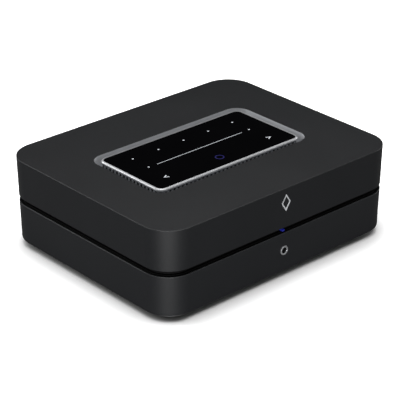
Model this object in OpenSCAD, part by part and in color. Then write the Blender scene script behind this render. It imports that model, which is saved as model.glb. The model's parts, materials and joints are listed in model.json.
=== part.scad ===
// Wireless streaming amplifier: two satin shells around a recessed groove, with a
// glass touch panel in the top and the sockets on the back.
// X runs along the width, -Y is the front, +Z is up. The origin is on the table,
// under the middle of the whole object, with the speaker terminals counted in.

/* [Case] */
// Width of the case
case_w = 220; // [190:1:260]
// Depth of the case, without the sockets
case_d = 176; // [170:1:210]
// Height over all, feet included
overall_h = 70; // [69:0.5:74]
// Radius of the upright corners
corner_r = 22; // [20:0.5:26]
// How far the sides lean in, from the top down to the bottom
side_draft = 1.5; // [0.5:0.1:2]
// Wall thickness of both shells
wall = 2.4; // [2:0.1:3]
// Thickness of the top face
top_plate = 2.6; // [2.4:0.1:2.8]
// Radius of the top outer edge
top_edge_r = 1.2; // [0.6:0.1:1.6]
// Radius of the bottom outer edge
bottom_edge_r = 2.5; // [1.5:0.1:3.5]

/* [Groove] */
// Height of the groove's lower edge
groove_z = 35.5; // [34:0.1:37]
// Height of the groove
groove_h = 3.9; // [3:0.1:4.5]
// Depth of the groove
groove_depth = 4.5; // [4:0.1:5.5]

/* [Touch panel] */
// Width of the panel, bezel included
panel_w = 134.8; // [130:0.1:136]
// Depth of the panel, bezel included
panel_d = 67.8; // [64:0.1:70]
// Corner radius of the panel
panel_r = 6; // [5:0.5:7]
// Vent gap round the panel
panel_gap = 5.3; // [4.5:0.1:6]
// Width of the bright bezel round the glass
bezel_w = 1.4; // [1:0.1:1.8]
// Pitch of the vent slots and holes
vent_pitch = 3.8; // [3.6:0.1:5]

/* [Feet and base] */
// Height of the rubber feet under the case
foot_h = 4; // [3:0.5:5]
// Diameter of a foot
foot_dia = 18; // [14:0.5:20]
// Thickness of the steel base plate
base_plate_t = 2; // [1.5:0.1:2.5]

/* [Speaker terminals] */
// Spacing of the terminals, the usual three quarters of an inch
post_pitch = 19.05; // [19.05:0.05:19.5]
// Diameter of the threaded stem
stem_dia = 6; // [5.8:0.1:6.2]
// Bore for a 4 mm banana plug
banana_dia = 4; // [4:0.05:4.1]
// Diameter of the knurled cap
cap_dia = 12.4; // [11.5:0.1:13]
// How far the terminals reach behind the case
rear_reach = 14; // [13.5:0.5:16]

/* [Hidden] */
$fn = 64;
eps = 0.02;
slip = 0.1;

// Main planes of the case.
mid_y = -rear_reach / 2;
front_y = mid_y - case_d / 2;
back_y = mid_y + case_d / 2;
base_z = foot_h;
top_z = overall_h;
seam_low = groove_z;
seam_high = groove_z + groove_h;

// Inner steps of the shells and of the band between them.
rim_bevel = 0.6;
lip_h = 3;
lip_in = wall + 0.3;
band_in = 8.5;
flange_z = base_z + base_plate_t;
flange_t = 2.5;
flange_in = 14;
base_in = 6;

// Case screws, one near each corner.
screw_in = 17;
screw_r = 1.5;
boss_r = 4.5;
screw_xs = [-case_w / 2 + screw_in, case_w / 2 - screw_in];
screw_ys = [front_y + screw_in, back_y - screw_in];

// Recess in the top and the stack of the touch panel, from the top down.
recess_w = panel_w + 2 * panel_gap;
recess_d = panel_d + 2 * panel_gap - 0.6;
recess_r = panel_r + panel_gap;
trim_t = 0.5;
trim_flange = 5;
bezel_step = 0.8;
bezel_rim = 1.6;
bezel_bevel = 0.8;
glass_top = top_z - 0.2;
glass_t = 1.2;
glass_z = glass_top - glass_t;
bezel_foot_z = top_z - 2.4;
guide_t = 1.6;
guide_w = panel_w - 2 * bezel_w - 6.2;
guide_d = panel_d - 2 * bezel_w - 6.2;
board_t = 1.6;
touch_board_z = glass_z - guide_t - board_t;
tray_t = 2;
tray_z = touch_board_z - tray_t;
grille_z = top_z - 10;
grille_t = 0.8;
vent_slot_w = 2;
vent_slot_h = 5;
vent_hole_r = 1.25;
tray_flange_z = grille_z - 2;
tray_hole = [84, 47];
icon_depth = 0.35;

// Marks on the glass, from the middle of the panel.
preset_gap = 24;
preset_y = 18.7;
slider_len = 82;
slider_end = 48.3;
arrow_x = 49.5;
arrow_y = -19;
play_y = -20;

// Back panel.
panel_half = 84.5;
plate_split = -38;
rear_low_z = 10.5;
rear_high_z = 63.5;
rear_t = 2.4;
rear_face = back_y - 1.2;
rear_inner = rear_face - rear_t;

rear_screw_high = [[-79, 57], [79, 57]];
rear_screw_low = [[-79, 14.5], [-20, 14.5], [79, 14.5]];
rear_screw_at = concat(rear_screw_high, rear_screw_low);
rear_screw_r = 1.5;
tab_d = 6;

// Boards, from the bottom up.
low_board_z = 14;
main_board_z = 43;
main_top = main_board_z + board_t;
low_top = low_board_z + board_t;
socket_row = main_top;
power_row = 25;

// Places of the sockets along the back.
network_x = -50;
usb_x = -29;
av_x = -9;
service_x = 8;
line_x = 21;
phono_x = 36;
infrared_x = 51;
inlet_x = -62;
inlet_depth = 17;
inlet_mouth = 13.5;
pin_r = 1.19;
pin_half = 4.3;
lobe_r = 4.3;
post_xs = [for (i = [0:3]) 18 + i * post_pitch];
jack_r = 1.8;
jack_z = socket_row + 5;

// Speaker terminal, measured outwards from the back panel's face.
collar_t = 2;
washer_out = 3.4;
washer_t = 1.4;
cap_out = washer_out + washer_t;
stem_out = 13;
wire_hole_r = 1.2;
wire_hole_out = collar_t + wire_hole_r + 0.2;
cap_end = back_y + rear_reach - rear_face;
knurls = 20;

// Front details.
badge_z = 58.8;
badge_w = 8.4;
badge_h = 13;
badge_line = 0.9;
headphone_z = 21.3;

// Inset of the leaning side wall at a height.
function inset(z) = side_draft * (top_z - z) / (top_z - base_z);

// Flat rounded rectangle.
module plate_2d(w, d, r) {
    square([w - 2 * r, d], center = true);
    square([w, d - 2 * r], center = true);
    for (sx = [-1, 1], sy = [-1, 1])
        translate([sx * (w / 2 - r), sy * (d / 2 - r)]) circle(r);
}

// Rounded plate about the middle of the case, from one height to another.
module slab(w, d, r, z0, z1) {
    translate([0, mid_y, z0]) linear_extrude(z1 - z0) plate_2d(w, d, r);
}

// Rounded block whose side wall follows a profile: a list of [inset, height] from the bottom up.
module profile_slab(w, d, r, profile) {
    low = profile[0][1];
    high = profile[len(profile) - 1][1];
    back = [for (i = [len(profile) - 1:-1:0]) profile[i]];
    translate([0, mid_y, 0]) {
        for (sx = [-1, 1], sy = [-1, 1]) translate([sx * (w / 2 - r), sy * (d / 2 - r), 0])
            rotate_extrude() polygon(concat([[0, low]], [for (p = profile) [r - p[0], p[1]]], [[0, high]]));
        translate([0, d / 2 - r, 0]) rotate([90, 0, 0]) linear_extrude(d - 2 * r)
            polygon(concat([for (p = profile) [p[0] - w / 2, p[1]]], [for (p = back) [w / 2 - p[0], p[1]]]));
        translate([r - w / 2, 0, 0]) rotate([90, 0, 90]) linear_extrude(w - 2 * r)
            polygon(concat([for (p = profile) [p[0] - d / 2, p[1]]], [for (p = back) [d / 2 - p[0], p[1]]]));
    }
}

// Case outline with a profile of its own.
module case_profile(profile) {
    profile_slab(case_w, case_d, corner_r, profile);
}

// Case outline that follows the leaning sides, set in by a further amount.
module case_block(z0, z1, in_by) {
    case_profile([[in_by + inset(z0), z0], [in_by + inset(z1), z1]]);
}

// Profile points of the rounded top and bottom edges of the case, from the bottom up.
function top_edge(r) = [for (a = [0:30:90]) [inset(top_z) + r * (1 - cos(a)), top_z - r + r * sin(a)]];
function bottom_edge(r) = [for (a = [90:-30:0]) [inset(base_z) + r * (1 - cos(a)), base_z + r - r * sin(a)]];

// Round bar along an axis: y for front to back, z for upright.
module bar_y(x, z, y0, y1, r) {
    translate([x, y0, z]) rotate([-90, 0, 0]) cylinder(h = y1 - y0, r = r);
}
module bar_z(x, y, z0, z1, r) {
    translate([x, y, z0]) cylinder(h = z1 - z0, r = r);
}

// Box from one corner to the other.
module block(from, to) {
    translate(from) cube(to - from);
}

// Copies its children to the four corner screws.
module at_case_screws() {
    for (x = screw_xs, y = screw_ys) translate([x, y, 0]) children();
}

// Back opening that the shells share, between two heights.
module rear_notch(z0, z1) {
    block([-panel_half - 0.5, back_y - 11, z0], [panel_half + 0.5, back_y + 1, z1]);
}

// Holes for the screws of the back panel, wider than the screws by extra.
module rear_screw_holes(places, extra) {
    for (p = places) bar_y(p[0], p[1], rear_inner - tab_d - 1, rear_face + 1, rear_screw_r + extra);
}

// Tab behind the back panel that a screw bites into.
module rear_tab(x0, x1, z0, z1) {
    block([x0, rear_inner - tab_d, z0], [x1, rear_inner - slip, z1]);
}

module top_cover() color("#313234") difference() {
    union() {
        // tabs that reach in from the corners behind the back panel
        for (p = rear_screw_high) {
            far = p[0] + sign(p[0]) * 17;
            near = p[0] - sign(p[0]) * 5;
            rear_tab(min(near, far), max(near, far), p[1] - 4, p[1] + 4);
        }
        difference() {
            case_profile(concat([[inset(seam_high), seam_high]], top_edge(top_edge_r)));
            case_block(seam_high - eps, top_z - top_plate, wall);
        }
        at_case_screws() bar_z(0, 0, seam_high, top_z - top_plate + eps, boss_r);
        for (sx = [-1, 1], sy = [-1, 1])
            bar_z(sx * tray_hole[0], mid_y + sy * tray_hole[1], grille_z, top_z - top_plate + eps, 3.5);
    }
    slab(recess_w + 2 * trim_t + slip, recess_d + 2 * trim_t + slip, recess_r + trim_t, top_z - 4, top_z + 1);
    at_case_screws() bar_z(0, 0, seam_high - 1, top_z - 6, screw_r);
    for (sx = [-1, 1], sy = [-1, 1])
        bar_z(sx * tray_hole[0], mid_y + sy * tray_hole[1], grille_z - 1, top_z - 4, 1.2);
    rear_notch(seam_high - 1, rear_high_z + 0.5);
    badge_shape(badge_line, front_y - 1, front_y + inset(badge_z) + 0.5);
    rear_screw_holes(rear_screw_high, 0.05);
}

module lower_casing() color("#2b2c2e") difference() {
    union() {
        difference() {
            case_profile(concat(bottom_edge(bottom_edge_r),
                [[inset(seam_low), seam_low - rim_bevel], [inset(seam_low) + rim_bevel, seam_low]]));
            case_block(flange_z + flange_t, seam_low + eps, wall);
            case_block(flange_z - eps, flange_z + flange_t + eps, flange_in);
            case_block(base_z - eps, flange_z, base_in);
        }
        at_case_screws() bar_z(0, 0, flange_z, seam_low, boss_r);
        for (p = rear_screw_low)
            rear_tab(p[0] - 4, p[0] + 4, flange_z + flange_t - eps, p[1] + 4);
    }
    at_case_screws() bar_z(0, 0, flange_z - 1, seam_low + 1, screw_r + 0.2);
    difference() {
        rear_notch(rear_low_z - 0.5, seam_low + 1);
        for (p = rear_screw_low)
            rear_tab(p[0] - 4, p[0] + 4, rear_low_z - 1, p[1] + 4);
    }
    rear_screw_holes(rear_screw_low, 0.05);
    bar_y(0, headphone_z, front_y - 1, front_y + 10, 3);
    // flat seat for the ring on the leaning wall
    bar_y(0, headphone_z, front_y - 1, front_y + inset(headphone_z) + slip, 3.7);
}

module mid_frame() color("#0b0b0c") difference() {
    union() {
        difference() {
            union() {
                case_block(seam_low - lip_h, seam_low, lip_in);
                case_block(seam_low, seam_high, groove_depth);
                case_block(seam_high, seam_high + lip_h, lip_in);
            }
            case_block(seam_low - lip_h - eps, seam_high + lip_h + eps, band_in);
        }
        at_case_screws() bar_z(0, 0, seam_low, seam_high, 8);
    }
    at_case_screws() {
        bar_z(0, 0, seam_low - 1, seam_high + 1, screw_r + 0.2);
        bar_z(0, 0, seam_low - lip_h - 1, seam_low, boss_r + 0.3);
        bar_z(0, 0, seam_high, seam_high + lip_h + 1, boss_r + 0.3);
    }
    rear_notch(seam_low - lip_h - 1, seam_high + lip_h + 1);
    block([-1.6, front_y, seam_low + 0.8], [1.6, front_y + 12, seam_high - 0.8]);
}

module base_plate() color("#1c1c1d") difference() {
    case_block(base_z, flange_z, base_in + 0.2);
    at_case_screws() {
        bar_z(0, 0, base_z - 1, flange_z + 1, screw_r + 0.2);
        bar_z(0, 0, base_z - 1, base_z + 1.2, 3.2);
    }
    for (x = [-1, 1], y = [-1, 1])
        bar_z(x * foot_at[0], mid_y + y * foot_at[1], base_z - 1, flange_z + 1, 3);
    // two fields of cooling slots
    for (side = [-1, 1], i = [-6:6])
        translate([side * 44 + i * 5.5, mid_y, base_z - 1]) linear_extrude(base_plate_t + 2) {
            square([2.6, 52], center = true);
            for (e = [-26, 26]) translate([0, e]) circle(1.3, $fn = 24);
        }
}

// Socket panel, and beside it the plate that holds the mains inlet and the network socket.
module rear_panel() color("#141415") difference() {
    block([plate_split + slip, rear_inner, rear_low_z], [panel_half, rear_face, rear_high_z]);
    rear_cut(usb_x, socket_row + 2.9, 13.5, 6.1);
    rear_cut(av_x, socket_row + 3.1, 15.5, 6.5);
    rear_cut(service_x, socket_row + 1.6, 8.3, 3.5);
    for (x = [line_x, infrared_x]) bar_y(x, jack_z, rear_inner - 1, rear_face + 1, 3.1);
    bar_y(phono_x, jack_z, rear_inner - 1, rear_face + 1, 4.25);
    for (x = post_xs) bar_y(x, power_row, rear_inner - 1, rear_face + 1, stem_dia / 2 + 0.05);
    rear_screw_holes(rear_screw_at, 0.1);
}

module inlet_plate() color("#141415") difference() {
    block([-panel_half, rear_inner, rear_low_z], [plate_split - slip, rear_face, rear_high_z]);
    rear_cut(network_x, socket_row + 6.75, 16.3, 13.8);
    rear_cut(inlet_x, power_row, 20.4, 12.4);
    rear_screw_holes(rear_screw_at, 0.1);
}

module rear_cut(x, z, w, h) {
    block([x - w / 2, rear_inner - 1, z - h / 2], [x + w / 2, rear_face + 1, z + h / 2]);
}

// Thin satin wall that lines the recess in the top.
module panel_surround() color("#9fa1a4") difference() {
    union() {
        slab(recess_w + 2 * trim_t, recess_d + 2 * trim_t, recess_r + trim_t, grille_z + grille_t, top_z);
        slab(recess_w + 2 * trim_flange, recess_d + 2 * trim_flange, recess_r + trim_flange,
            top_z - top_plate - 0.6, top_z - top_plate);
    }
    slab(recess_w, recess_d, recess_r, grille_z, top_z + 1);
}

// Slotted wall under the bezel and pierced floor of the gap, in one pressing.
module vent_grille() color("#3a3b3d") difference() {
    wall_w = panel_w - 2 * bezel_step;
    wall_d = panel_d - 2 * bezel_step;
    floor_w = recess_w + 2 * trim_flange;
    floor_d = recess_d + 2 * trim_flange;
    slot_z = bezel_foot_z - 0.3 - vent_slot_h / 2;
    union() {
        slab(floor_w, floor_d, recess_r + trim_flange, grille_z, grille_z + grille_t);
        slab(wall_w, wall_d, panel_r - bezel_step, grille_z, bezel_foot_z);
    }
    slab(wall_w - 2 * grille_t, wall_d - 2 * grille_t, panel_r - bezel_step - grille_t,
        grille_z - 1, top_z);
    nx = floor((wall_w - 2 * panel_r) / vent_pitch / 2);
    ny = floor((wall_d - 2 * panel_r) / vent_pitch / 2);
    for (i = [-nx:nx]) translate([i * vent_pitch, mid_y, 0]) {
        translate([0, 0, slot_z]) cube([vent_slot_w, wall_d + 2, vent_slot_h], center = true);
        for (s = [-1, 1]) bar_z(0, s * (wall_d + recess_d) / 4, grille_z - 1, grille_z + 2, vent_hole_r);
    }
    for (i = [-ny:ny]) translate([0, mid_y + i * vent_pitch, 0]) {
        translate([0, 0, slot_z]) cube([wall_w + 2, vent_slot_w, vent_slot_h], center = true);
        for (s = [-1, 1]) bar_z(s * (wall_w + recess_w) / 4, 0, grille_z - 1, grille_z + 2, vent_hole_r);
    }
}

// Bright frame of the glass: a rim with a bevelled outer edge, and a step that carries the glass.
module panel_bezel() color("#c9cacc") difference() {
    union() {
        profile_slab(panel_w, panel_d, panel_r,
            [[0, top_z - bezel_rim], [0, top_z - bezel_bevel], [bezel_bevel, top_z]]);
        slab(panel_w - 2 * bezel_step, panel_d - 2 * bezel_step, panel_r - bezel_step,
            bezel_foot_z, top_z - bezel_rim);
    }
    slab(panel_w - 2 * bezel_w, panel_d - 2 * bezel_w, panel_r - bezel_w, glass_z, top_z + 1);
    slab(guide_w + 2 * slip, guide_d + 2 * slip, 2, bezel_foot_z - 1, glass_z + 1);
}

module touch_glass() color("#050506") difference() {
    slab(panel_w - 2 * bezel_w - slip, panel_d - 2 * bezel_w - slip, panel_r - bezel_w, glass_z, glass_top);
    icon_shapes(glass_top - icon_depth, glass_top + 1);
    play_shape(glass_top - icon_depth, glass_top + 1);
}

// Preset dots, slider with its two end dots, and the skip arrows.
module icon_shapes(z0, z1) {
    translate([0, mid_y, z0]) linear_extrude(z1 - z0) {
        for (i = [-2:2]) translate([i * preset_gap, preset_y]) circle(0.75, $fn = 24);
        for (s = [-1, 1]) translate([s * slider_end, 0.9]) circle(0.75, $fn = 24);
        translate([0, 0.6]) square([slider_len, 0.7], center = true);
        for (s = [-1, 1]) translate([s * arrow_x, arrow_y])
            polygon([[s * 2, 0], [-s * 1.6, 2], [-s * 1.6, 0.9],
                [s * 0.2, 0], [-s * 1.6, -0.9], [-s * 1.6, -2]]);
    }
}

module play_shape(z0, z1) {
    translate([0, mid_y + play_y, z0]) linear_extrude(z1 - z0) difference() {
        circle(4.2);
        circle(3.2);
    }
}

module panel_icons() color("#e8ebee") icon_shapes(glass_top - icon_depth, glass_top);

module play_ring() color("#2a2be0") play_shape(glass_top - icon_depth, glass_top);

// Clear sheet that spreads the light of the board's lamps to the marks.
module light_guide() color("#e9eef2")
    slab(guide_w, guide_d, 1.8, glass_z - guide_t, glass_z);

module touch_board() color("#1c5a34") difference() {
    union() {
        slab(guide_w - 1, guide_d - 1, 1.8, touch_board_z, touch_board_z + board_t);
        // ribbon connector under the board
        block([-9, mid_y - 7, touch_board_z - 1.8], [9, mid_y - 2, touch_board_z]);
    }
    for (x = [-56, 56], y = [-24, 24])
        bar_z(x, mid_y + y, touch_board_z - 1, touch_board_z + board_t + 1, 1.6);
}

// Tray that holds the panel and the grille up against the top cover.
module panel_tray() color("#161617") difference() {
    tray_w = panel_w - 8;
    tray_d = panel_d - 8;
    flange_w = 2 * tray_hole[0] + 9;
    flange_d = 2 * tray_hole[1] + 9;
    union() {
        slab(tray_w, tray_d, 2, tray_z, touch_board_z);
        difference() {
            slab(flange_w, flange_d, 6, tray_flange_z, grille_z);
            slab(recess_w - 1, recess_d - 1, 4, tray_flange_z - 1, grille_z + 1);
        }
        for (s = [-1, 1]) {
            block([s * 40 - 5, mid_y - flange_d / 2 + 3, tray_flange_z],
                [s * 40 + 5, mid_y + flange_d / 2 - 3, grille_z]);
            for (y = [-20, 20]) bar_z(s * 40, mid_y + y, tray_flange_z, tray_z + 1, 3.5);
        }
    }
    for (sx = [-1, 1], sy = [-1, 1])
        bar_z(sx * tray_hole[0], mid_y + sy * tray_hole[1], tray_flange_z - 1, grille_z + 1, 1.5);
    block([-11, mid_y - 9, tray_z - 1], [11, mid_y + 1, touch_board_z + 1]);
}

// Flat cable from the touch board down to the main board.
module touch_ribbon() color("#d8d4c8") {
    block([-8, mid_y - 4.7, main_top + 2.6], [8, mid_y - 4.4, touch_board_z - 1.8]);
}

// Plain lozenge outline.
module badge_shape(line, y0, y1) {
    translate([0, y0, badge_z]) rotate([-90, 0, 0]) linear_extrude(y1 - y0) difference() {
        polygon([[0, badge_h / 2], [badge_w / 2, 0], [0, -badge_h / 2], [-badge_w / 2, 0]]);
        polygon([[0, badge_h / 2 - 1.9 * line], [badge_w / 2 - 1.2 * line, 0],
            [0, 1.9 * line - badge_h / 2], [1.2 * line - badge_w / 2, 0]]);
    }
}

module front_badge() color("#b9bbbe")
    badge_shape(badge_line, front_y + inset(badge_z) - 0.25, front_y + inset(badge_z) + 0.5);

// Light pipe in the groove, in front of the status lamp and the infrared eye.
module status_window() color("#2d50ff")
    block([-1.5, front_y + groove_depth + inset(groove_z) - 0.1, seam_low + 0.9],
        [1.5, front_y + 16.8, seam_high - 0.9]);

module headphone_ring() color("#b5b7ba") difference() {
    y0 = front_y + inset(headphone_z);
    union() {
        bar_y(0, headphone_z, y0 - 0.5, y0 + 0.1, 3.6);
        bar_y(0, headphone_z, y0, y0 + wall + 0.6, 2.95);
    }
    bar_y(0, headphone_z, y0 - 1, y0 + wall + 1, jack_r + 0.05);
    // bevel of the mouth
    translate([0, y0 - 0.51, headphone_z]) rotate([-90, 0, 0])
        cylinder(h = 0.5, r1 = jack_r + 0.6, r2 = jack_r + 0.05);
}

module headphone_jack() color("#121213") difference() {
    y0 = front_y + inset(headphone_z) + wall + 0.7;
    block([-4.5, y0, headphone_z - 4], [4.5, y0 + 13, headphone_z + 4]);
    bar_y(0, headphone_z, y0 - 1, y0 + 11.5, jack_r);
}

// Upright board behind the front wall, with the jack and the status lamp on it.
module front_board() color("#1c5a34") {
    y0 = front_y + inset(headphone_z) + wall + 13.7;
    block([-16, y0, 10], [16, y0 + board_t, seam_high + 4]);
    block([-12, y0 + board_t, 14], [12, y0 + board_t + 4, 19]);
}

foot_at = [80, 60];
module foot(sx, sy) color("#17171a") translate([sx * foot_at[0], mid_y + sy * foot_at[1], 0]) difference() {
    union() {
        cylinder(h = foot_h - 1, r1 = foot_dia / 2 - 1.2, r2 = foot_dia / 2);
        translate([0, 0, foot_h - 1]) cylinder(h = 1, r = foot_dia / 2);
        translate([0, 0, foot_h - eps]) cylinder(h = base_plate_t + 1, r = 2.95);
    }
    translate([0, 0, -eps]) cylinder(h = 0.6, r = foot_dia / 2 - 3.5);
}
module foot_front_left() foot(-1, -1);
module foot_front_right() foot(1, -1);
module foot_rear_left() foot(-1, 1);
module foot_rear_right() foot(1, 1);

// Long screws from the base plate up into the bosses of the top cover.
module case_screws() color("#8d8f92") at_case_screws() difference() {
    union() {
        bar_z(0, 0, base_z + 0.1, base_z + 1.2, 2.9);
        bar_z(0, 0, base_z + 1.1, seam_high + 18, screw_r - 0.05);
    }
    for (a = [0, 90]) rotate(a) block([-1.8, -0.35, base_z - 1], [1.8, 0.35, base_z + 0.8]);
}

module rear_screws() color("#2a2a2c") for (p = rear_screw_at) difference() {
    union() {
        bar_y(p[0], p[1], rear_face, rear_face + 1, 2.7);
        bar_y(p[0], p[1], rear_inner - tab_d + 1, rear_face + 0.1, rear_screw_r);
    }
    for (a = [0, 90]) translate([p[0], rear_face + 1, p[1]]) rotate([0, a, 0])
        cube([3.2, 1.2, 0.6], center = true);
}

// Outline of a figure of eight, with lobes of radius r.
module eight_2d(r) {
    for (s = [-1, 1]) translate([s * pin_half, 0]) circle(r);
    square([2 * pin_half, 2 * r - 1], center = true);
}

// Two-pin mains inlet.
module mains_inlet() color("#0e0e0f") translate([inlet_x, rear_face, power_row]) rotate([90, 0, 0])
    difference() {
        union() {
            translate([0, 0, -1.2]) linear_extrude(1.2) plate_2d(26, 17, 2.5);
            linear_extrude(inlet_depth) square([20, 12], center = true);
        }
        translate([0, 0, -2]) linear_extrude(inlet_mouth + 2) eight_2d(lobe_r);
        for (s = [-1, 1]) translate([s * pin_half, 0, 12]) cylinder(h = 8, r = pin_r + 0.01);
    }

// Pins of the inlet, bent down to the power board behind it.
module inlet_pins() color("#cfd0d2") for (s = [-1, 1]) {
    x = inlet_x + s * pin_half;
    tip = rear_face - 3.7;
    bend = rear_face - 22;
    bar_y(x, power_row, bend, tip, pin_r);
    translate([x, tip, power_row]) sphere(pin_r);
    bar_z(x, bend, low_top, power_row, pin_r);
    translate([x, bend, power_row]) sphere(pin_r);
}

// Square sockets, each standing on the main board with its mouth in the back panel.
module network_socket() color("#a9abad") difference() {
    z = socket_row + 6.75;
    block([network_x - 8, rear_face - 18, socket_row], [network_x + 8, rear_face + 0.3, socket_row + 13.5]);
    rear_box(network_x, z + 0.5, 11.8, 7.2, 13);
    rear_box(network_x, z - 4, 6, 3.4, 13);
}
module rear_box(x, z, w, h, depth) {
    block([x - w / 2, rear_face - depth, z - h / 2], [x + w / 2, rear_face + 1, z + h / 2]);
}
module usb_socket() color("#b4b6b8") difference() {
    block([usb_x - 6.6, rear_face - 14, socket_row], [usb_x + 6.6, rear_face + 0.4, socket_row + 5.8]);
    rear_box(usb_x, socket_row + 2.9, 12.2, 4.7, 12);
}
module av_socket() color("#b4b6b8") difference() {
    translate([av_x, rear_face + 0.4, socket_row]) rotate([90, 0, 0])
        linear_extrude(12) av_2d(0);
    translate([av_x, rear_face + 1, socket_row]) rotate([90, 0, 0])
        linear_extrude(11) av_2d(0.5);
}
// Mouth with two slanted lower corners, thinner by a wall of t.
module av_2d(t) {
    x = 7.5 - t;
    polygon([[-x, 6.2 - t], [x, 6.2 - t], [x, 2.4], [x - 1.9, t], [1.9 - x, t], [-x, 2.4]]);
}
module service_socket() color("#b4b6b8") difference() {
    block([service_x - 4, rear_face - 6, socket_row], [service_x + 4, rear_face + 0.3, socket_row + 3.2]);
    rear_box(service_x, socket_row + 1.6, 7, 2.2, 5);
}
// Contact tongues of the three flat sockets.
module socket_tongues() color("#1a1a1c") {
    tongue(usb_x, 11.2, 12, 3, 4.8);
    tongue(av_x, 10.4, 10, 3, 4.1);
    tongue(service_x, 5.2, 5, 1.5, 2.1);
}
module tongue(x, w, root, z0, z1) {
    block([x - w / 2, rear_face - root, socket_row + z0], [x + w / 2, rear_face - 1.5, socket_row + z1]);
}

// 3.5 mm jack with a ring round its mouth.
module small_jack(x) difference() {
    union() {
        block([x - 4.5, rear_face - 14, socket_row], [x + 4.5, rear_inner, socket_row + 9.6]);
        bar_y(x, jack_z, rear_inner - 1, rear_face + 0.2, 3);
        bar_y(x, jack_z, rear_face, rear_face + 0.8, 3.8);
    }
    bar_y(x, jack_z, rear_face - 12, rear_face + 1, jack_r);
}
module line_in_jack() color("#101011") small_jack(line_x);
module infrared_jack() color("#101011") small_jack(infrared_x);

// Phono socket for the bass loudspeaker.
module phono_socket() color("#c2a24a") difference() {
    union() {
        block([phono_x - 5, rear_face - 13, socket_row], [phono_x + 5, rear_inner, socket_row + 10]);
        bar_y(phono_x, jack_z, rear_inner - 1, rear_face + 9, 4.15);
        bar_y(phono_x, jack_z, rear_face, rear_face + 1, 5.4);
    }
    bar_y(phono_x, jack_z, rear_face - 8, rear_face + 10, 1.65);
    difference() {
        bar_y(phono_x, jack_z, rear_face + 2, rear_face + 10, 3.6);
        bar_y(phono_x, jack_z, rear_face + 1, rear_face + 8, 2.8);
    }
}

// Insulating collars of the four terminals, outside and inside the panel.
module terminal_collars() color("#0e0e0f") for (x = post_xs) difference() {
    union() {
        bar_y(x, power_row, rear_face, rear_face + collar_t, 6.8);
        bar_y(x, power_row, rear_inner - 3, rear_inner, 5.5);
    }
    bar_y(x, power_row, rear_inner - 4, rear_face + collar_t + 1, stem_dia / 2 + 0.02);
}

// Threaded stem with its plug bore, wire hole and the tag down to the amplifier board.
module post_stem(i) color("#c9a04a") difference() {
    x = post_xs[i];
    union() {
        bar_y(x, power_row, rear_inner - 12, rear_face + stem_out, stem_dia / 2);
        block([x - 1.5, rear_inner - 11, low_top], [x + 1.5, rear_inner - 10, power_row]);
    }
    bar_y(x, power_row, rear_face + 0.5, rear_face + stem_out + 1, banana_dia / 2);
    bar_z(x, rear_face + wire_hole_out, power_row - 5, power_row + 5, wire_hole_r);
}
module post_stem_1() post_stem(0);
module post_stem_2() post_stem(1);
module post_stem_3() post_stem(2);
module post_stem_4() post_stem(3);

// Clamp washer that travels with the cap without turning.
module post_washer(i) color("#c9a04a") difference() {
    bar_y(post_xs[i], power_row, rear_face + washer_out, rear_face + cap_out, 4.6);
    bar_y(post_xs[i], power_row, rear_face + washer_out - 1, rear_face + cap_out + 1, stem_dia / 2 + 0.06);
}
module post_washer_1() post_washer(0);
module post_washer_2() post_washer(1);
module post_washer_3() post_washer(2);
module post_washer_4() post_washer(3);

// Knurled cap that screws along the stem.
module post_cap(i, tint) color(tint) translate([post_xs[i], rear_face, power_row]) rotate([-90, 0, 0])
    difference() {
        union() {
            translate([0, 0, cap_out + 0.05]) cylinder(h = 1.2, r = cap_dia / 2 - 1);
            translate([0, 0, cap_out + 1.2]) cylinder(h = cap_end - cap_out - 2, r = cap_dia / 2);
            translate([0, 0, cap_end - 0.8]) cylinder(h = 0.8, r1 = cap_dia / 2, r2 = cap_dia / 2 - 0.8);
        }
        translate([0, 0, cap_out - 1]) cylinder(h = stem_out + 0.4 - cap_out + 1, r = stem_dia / 2 + 0.06);
        cylinder(h = cap_end + 1, r = banana_dia / 2 + 0.3);
        for (k = [0:knurls - 1]) rotate(k * 360 / knurls)
            translate([cap_dia / 2 + 0.15, 0, cap_out + 2.4])
                cylinder(h = cap_end - cap_out, r = 0.6, $fn = 16);
    }
module post_cap_1() post_cap(0, "#17171a");
module post_cap_2() post_cap(1, "#a01c1c");
module post_cap_3() post_cap(2, "#17171a");
module post_cap_4() post_cap(3, "#a01c1c");

// Boards.
pillar_at = [for (x = [-82, 82], y = [-15, 42]) [x, y]];
front_pillar_at = [for (x = [-82, -14, 14, 82]) [x, -60]];

module board(x0, y0, x1, y1, z) difference() {
    block([x0, y0, z], [x1, y1, z + board_t]);
    for (p = concat(pillar_at, front_pillar_at))
        bar_z(p[0], p[1], z - 1, z + board_t + 1, 1.5);
}

// Chips, plugs and other small parts in a row on a board.
module chip_row(x, y, z, count, step, size) {
    for (i = [0:count - 1]) translate([x + i * step, y, z]) cube(size);
}

module main_board() color("#1c5a34") {
    board(-87, -24, 87, 74, main_board_z);
    chip_row(-60, -6, main_top, 4, 13, [8, 8, 1.2]);
    chip_row(-58, 38, main_top, 7, 17, [6, 5, 1.6]);
    block([-9, mid_y - 6.5, main_top], [9, mid_y - 2.5, main_top + 2.6]);
    // plugs to the two boards below
    chip_row(-40, 56, main_board_z - 4, 2, 66, [14, 5, 4]);
}

// Tinned cans over the processor and over the wireless module.
module shield_cans() color("#b9bbbd") {
    difference() {
        block([12, 6, main_top], [44, 34, main_top + 4]);
        block([12.3, 6.3, main_top - 1], [43.7, 33.7, main_top + 3.7]);
        for (i = [0:6], j = [0:4])
            bar_z(18 + i * 3.4, 13 + j * 3.4, main_top + 3, main_top + 5, 0.8, $fn = 16);
    }
    block([-36, 8, main_top], [-16, 24, main_top + 0.8]);
    block([-35, 9, main_top + 0.8], [-17, 21, main_top + 2.6]);
}

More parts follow.
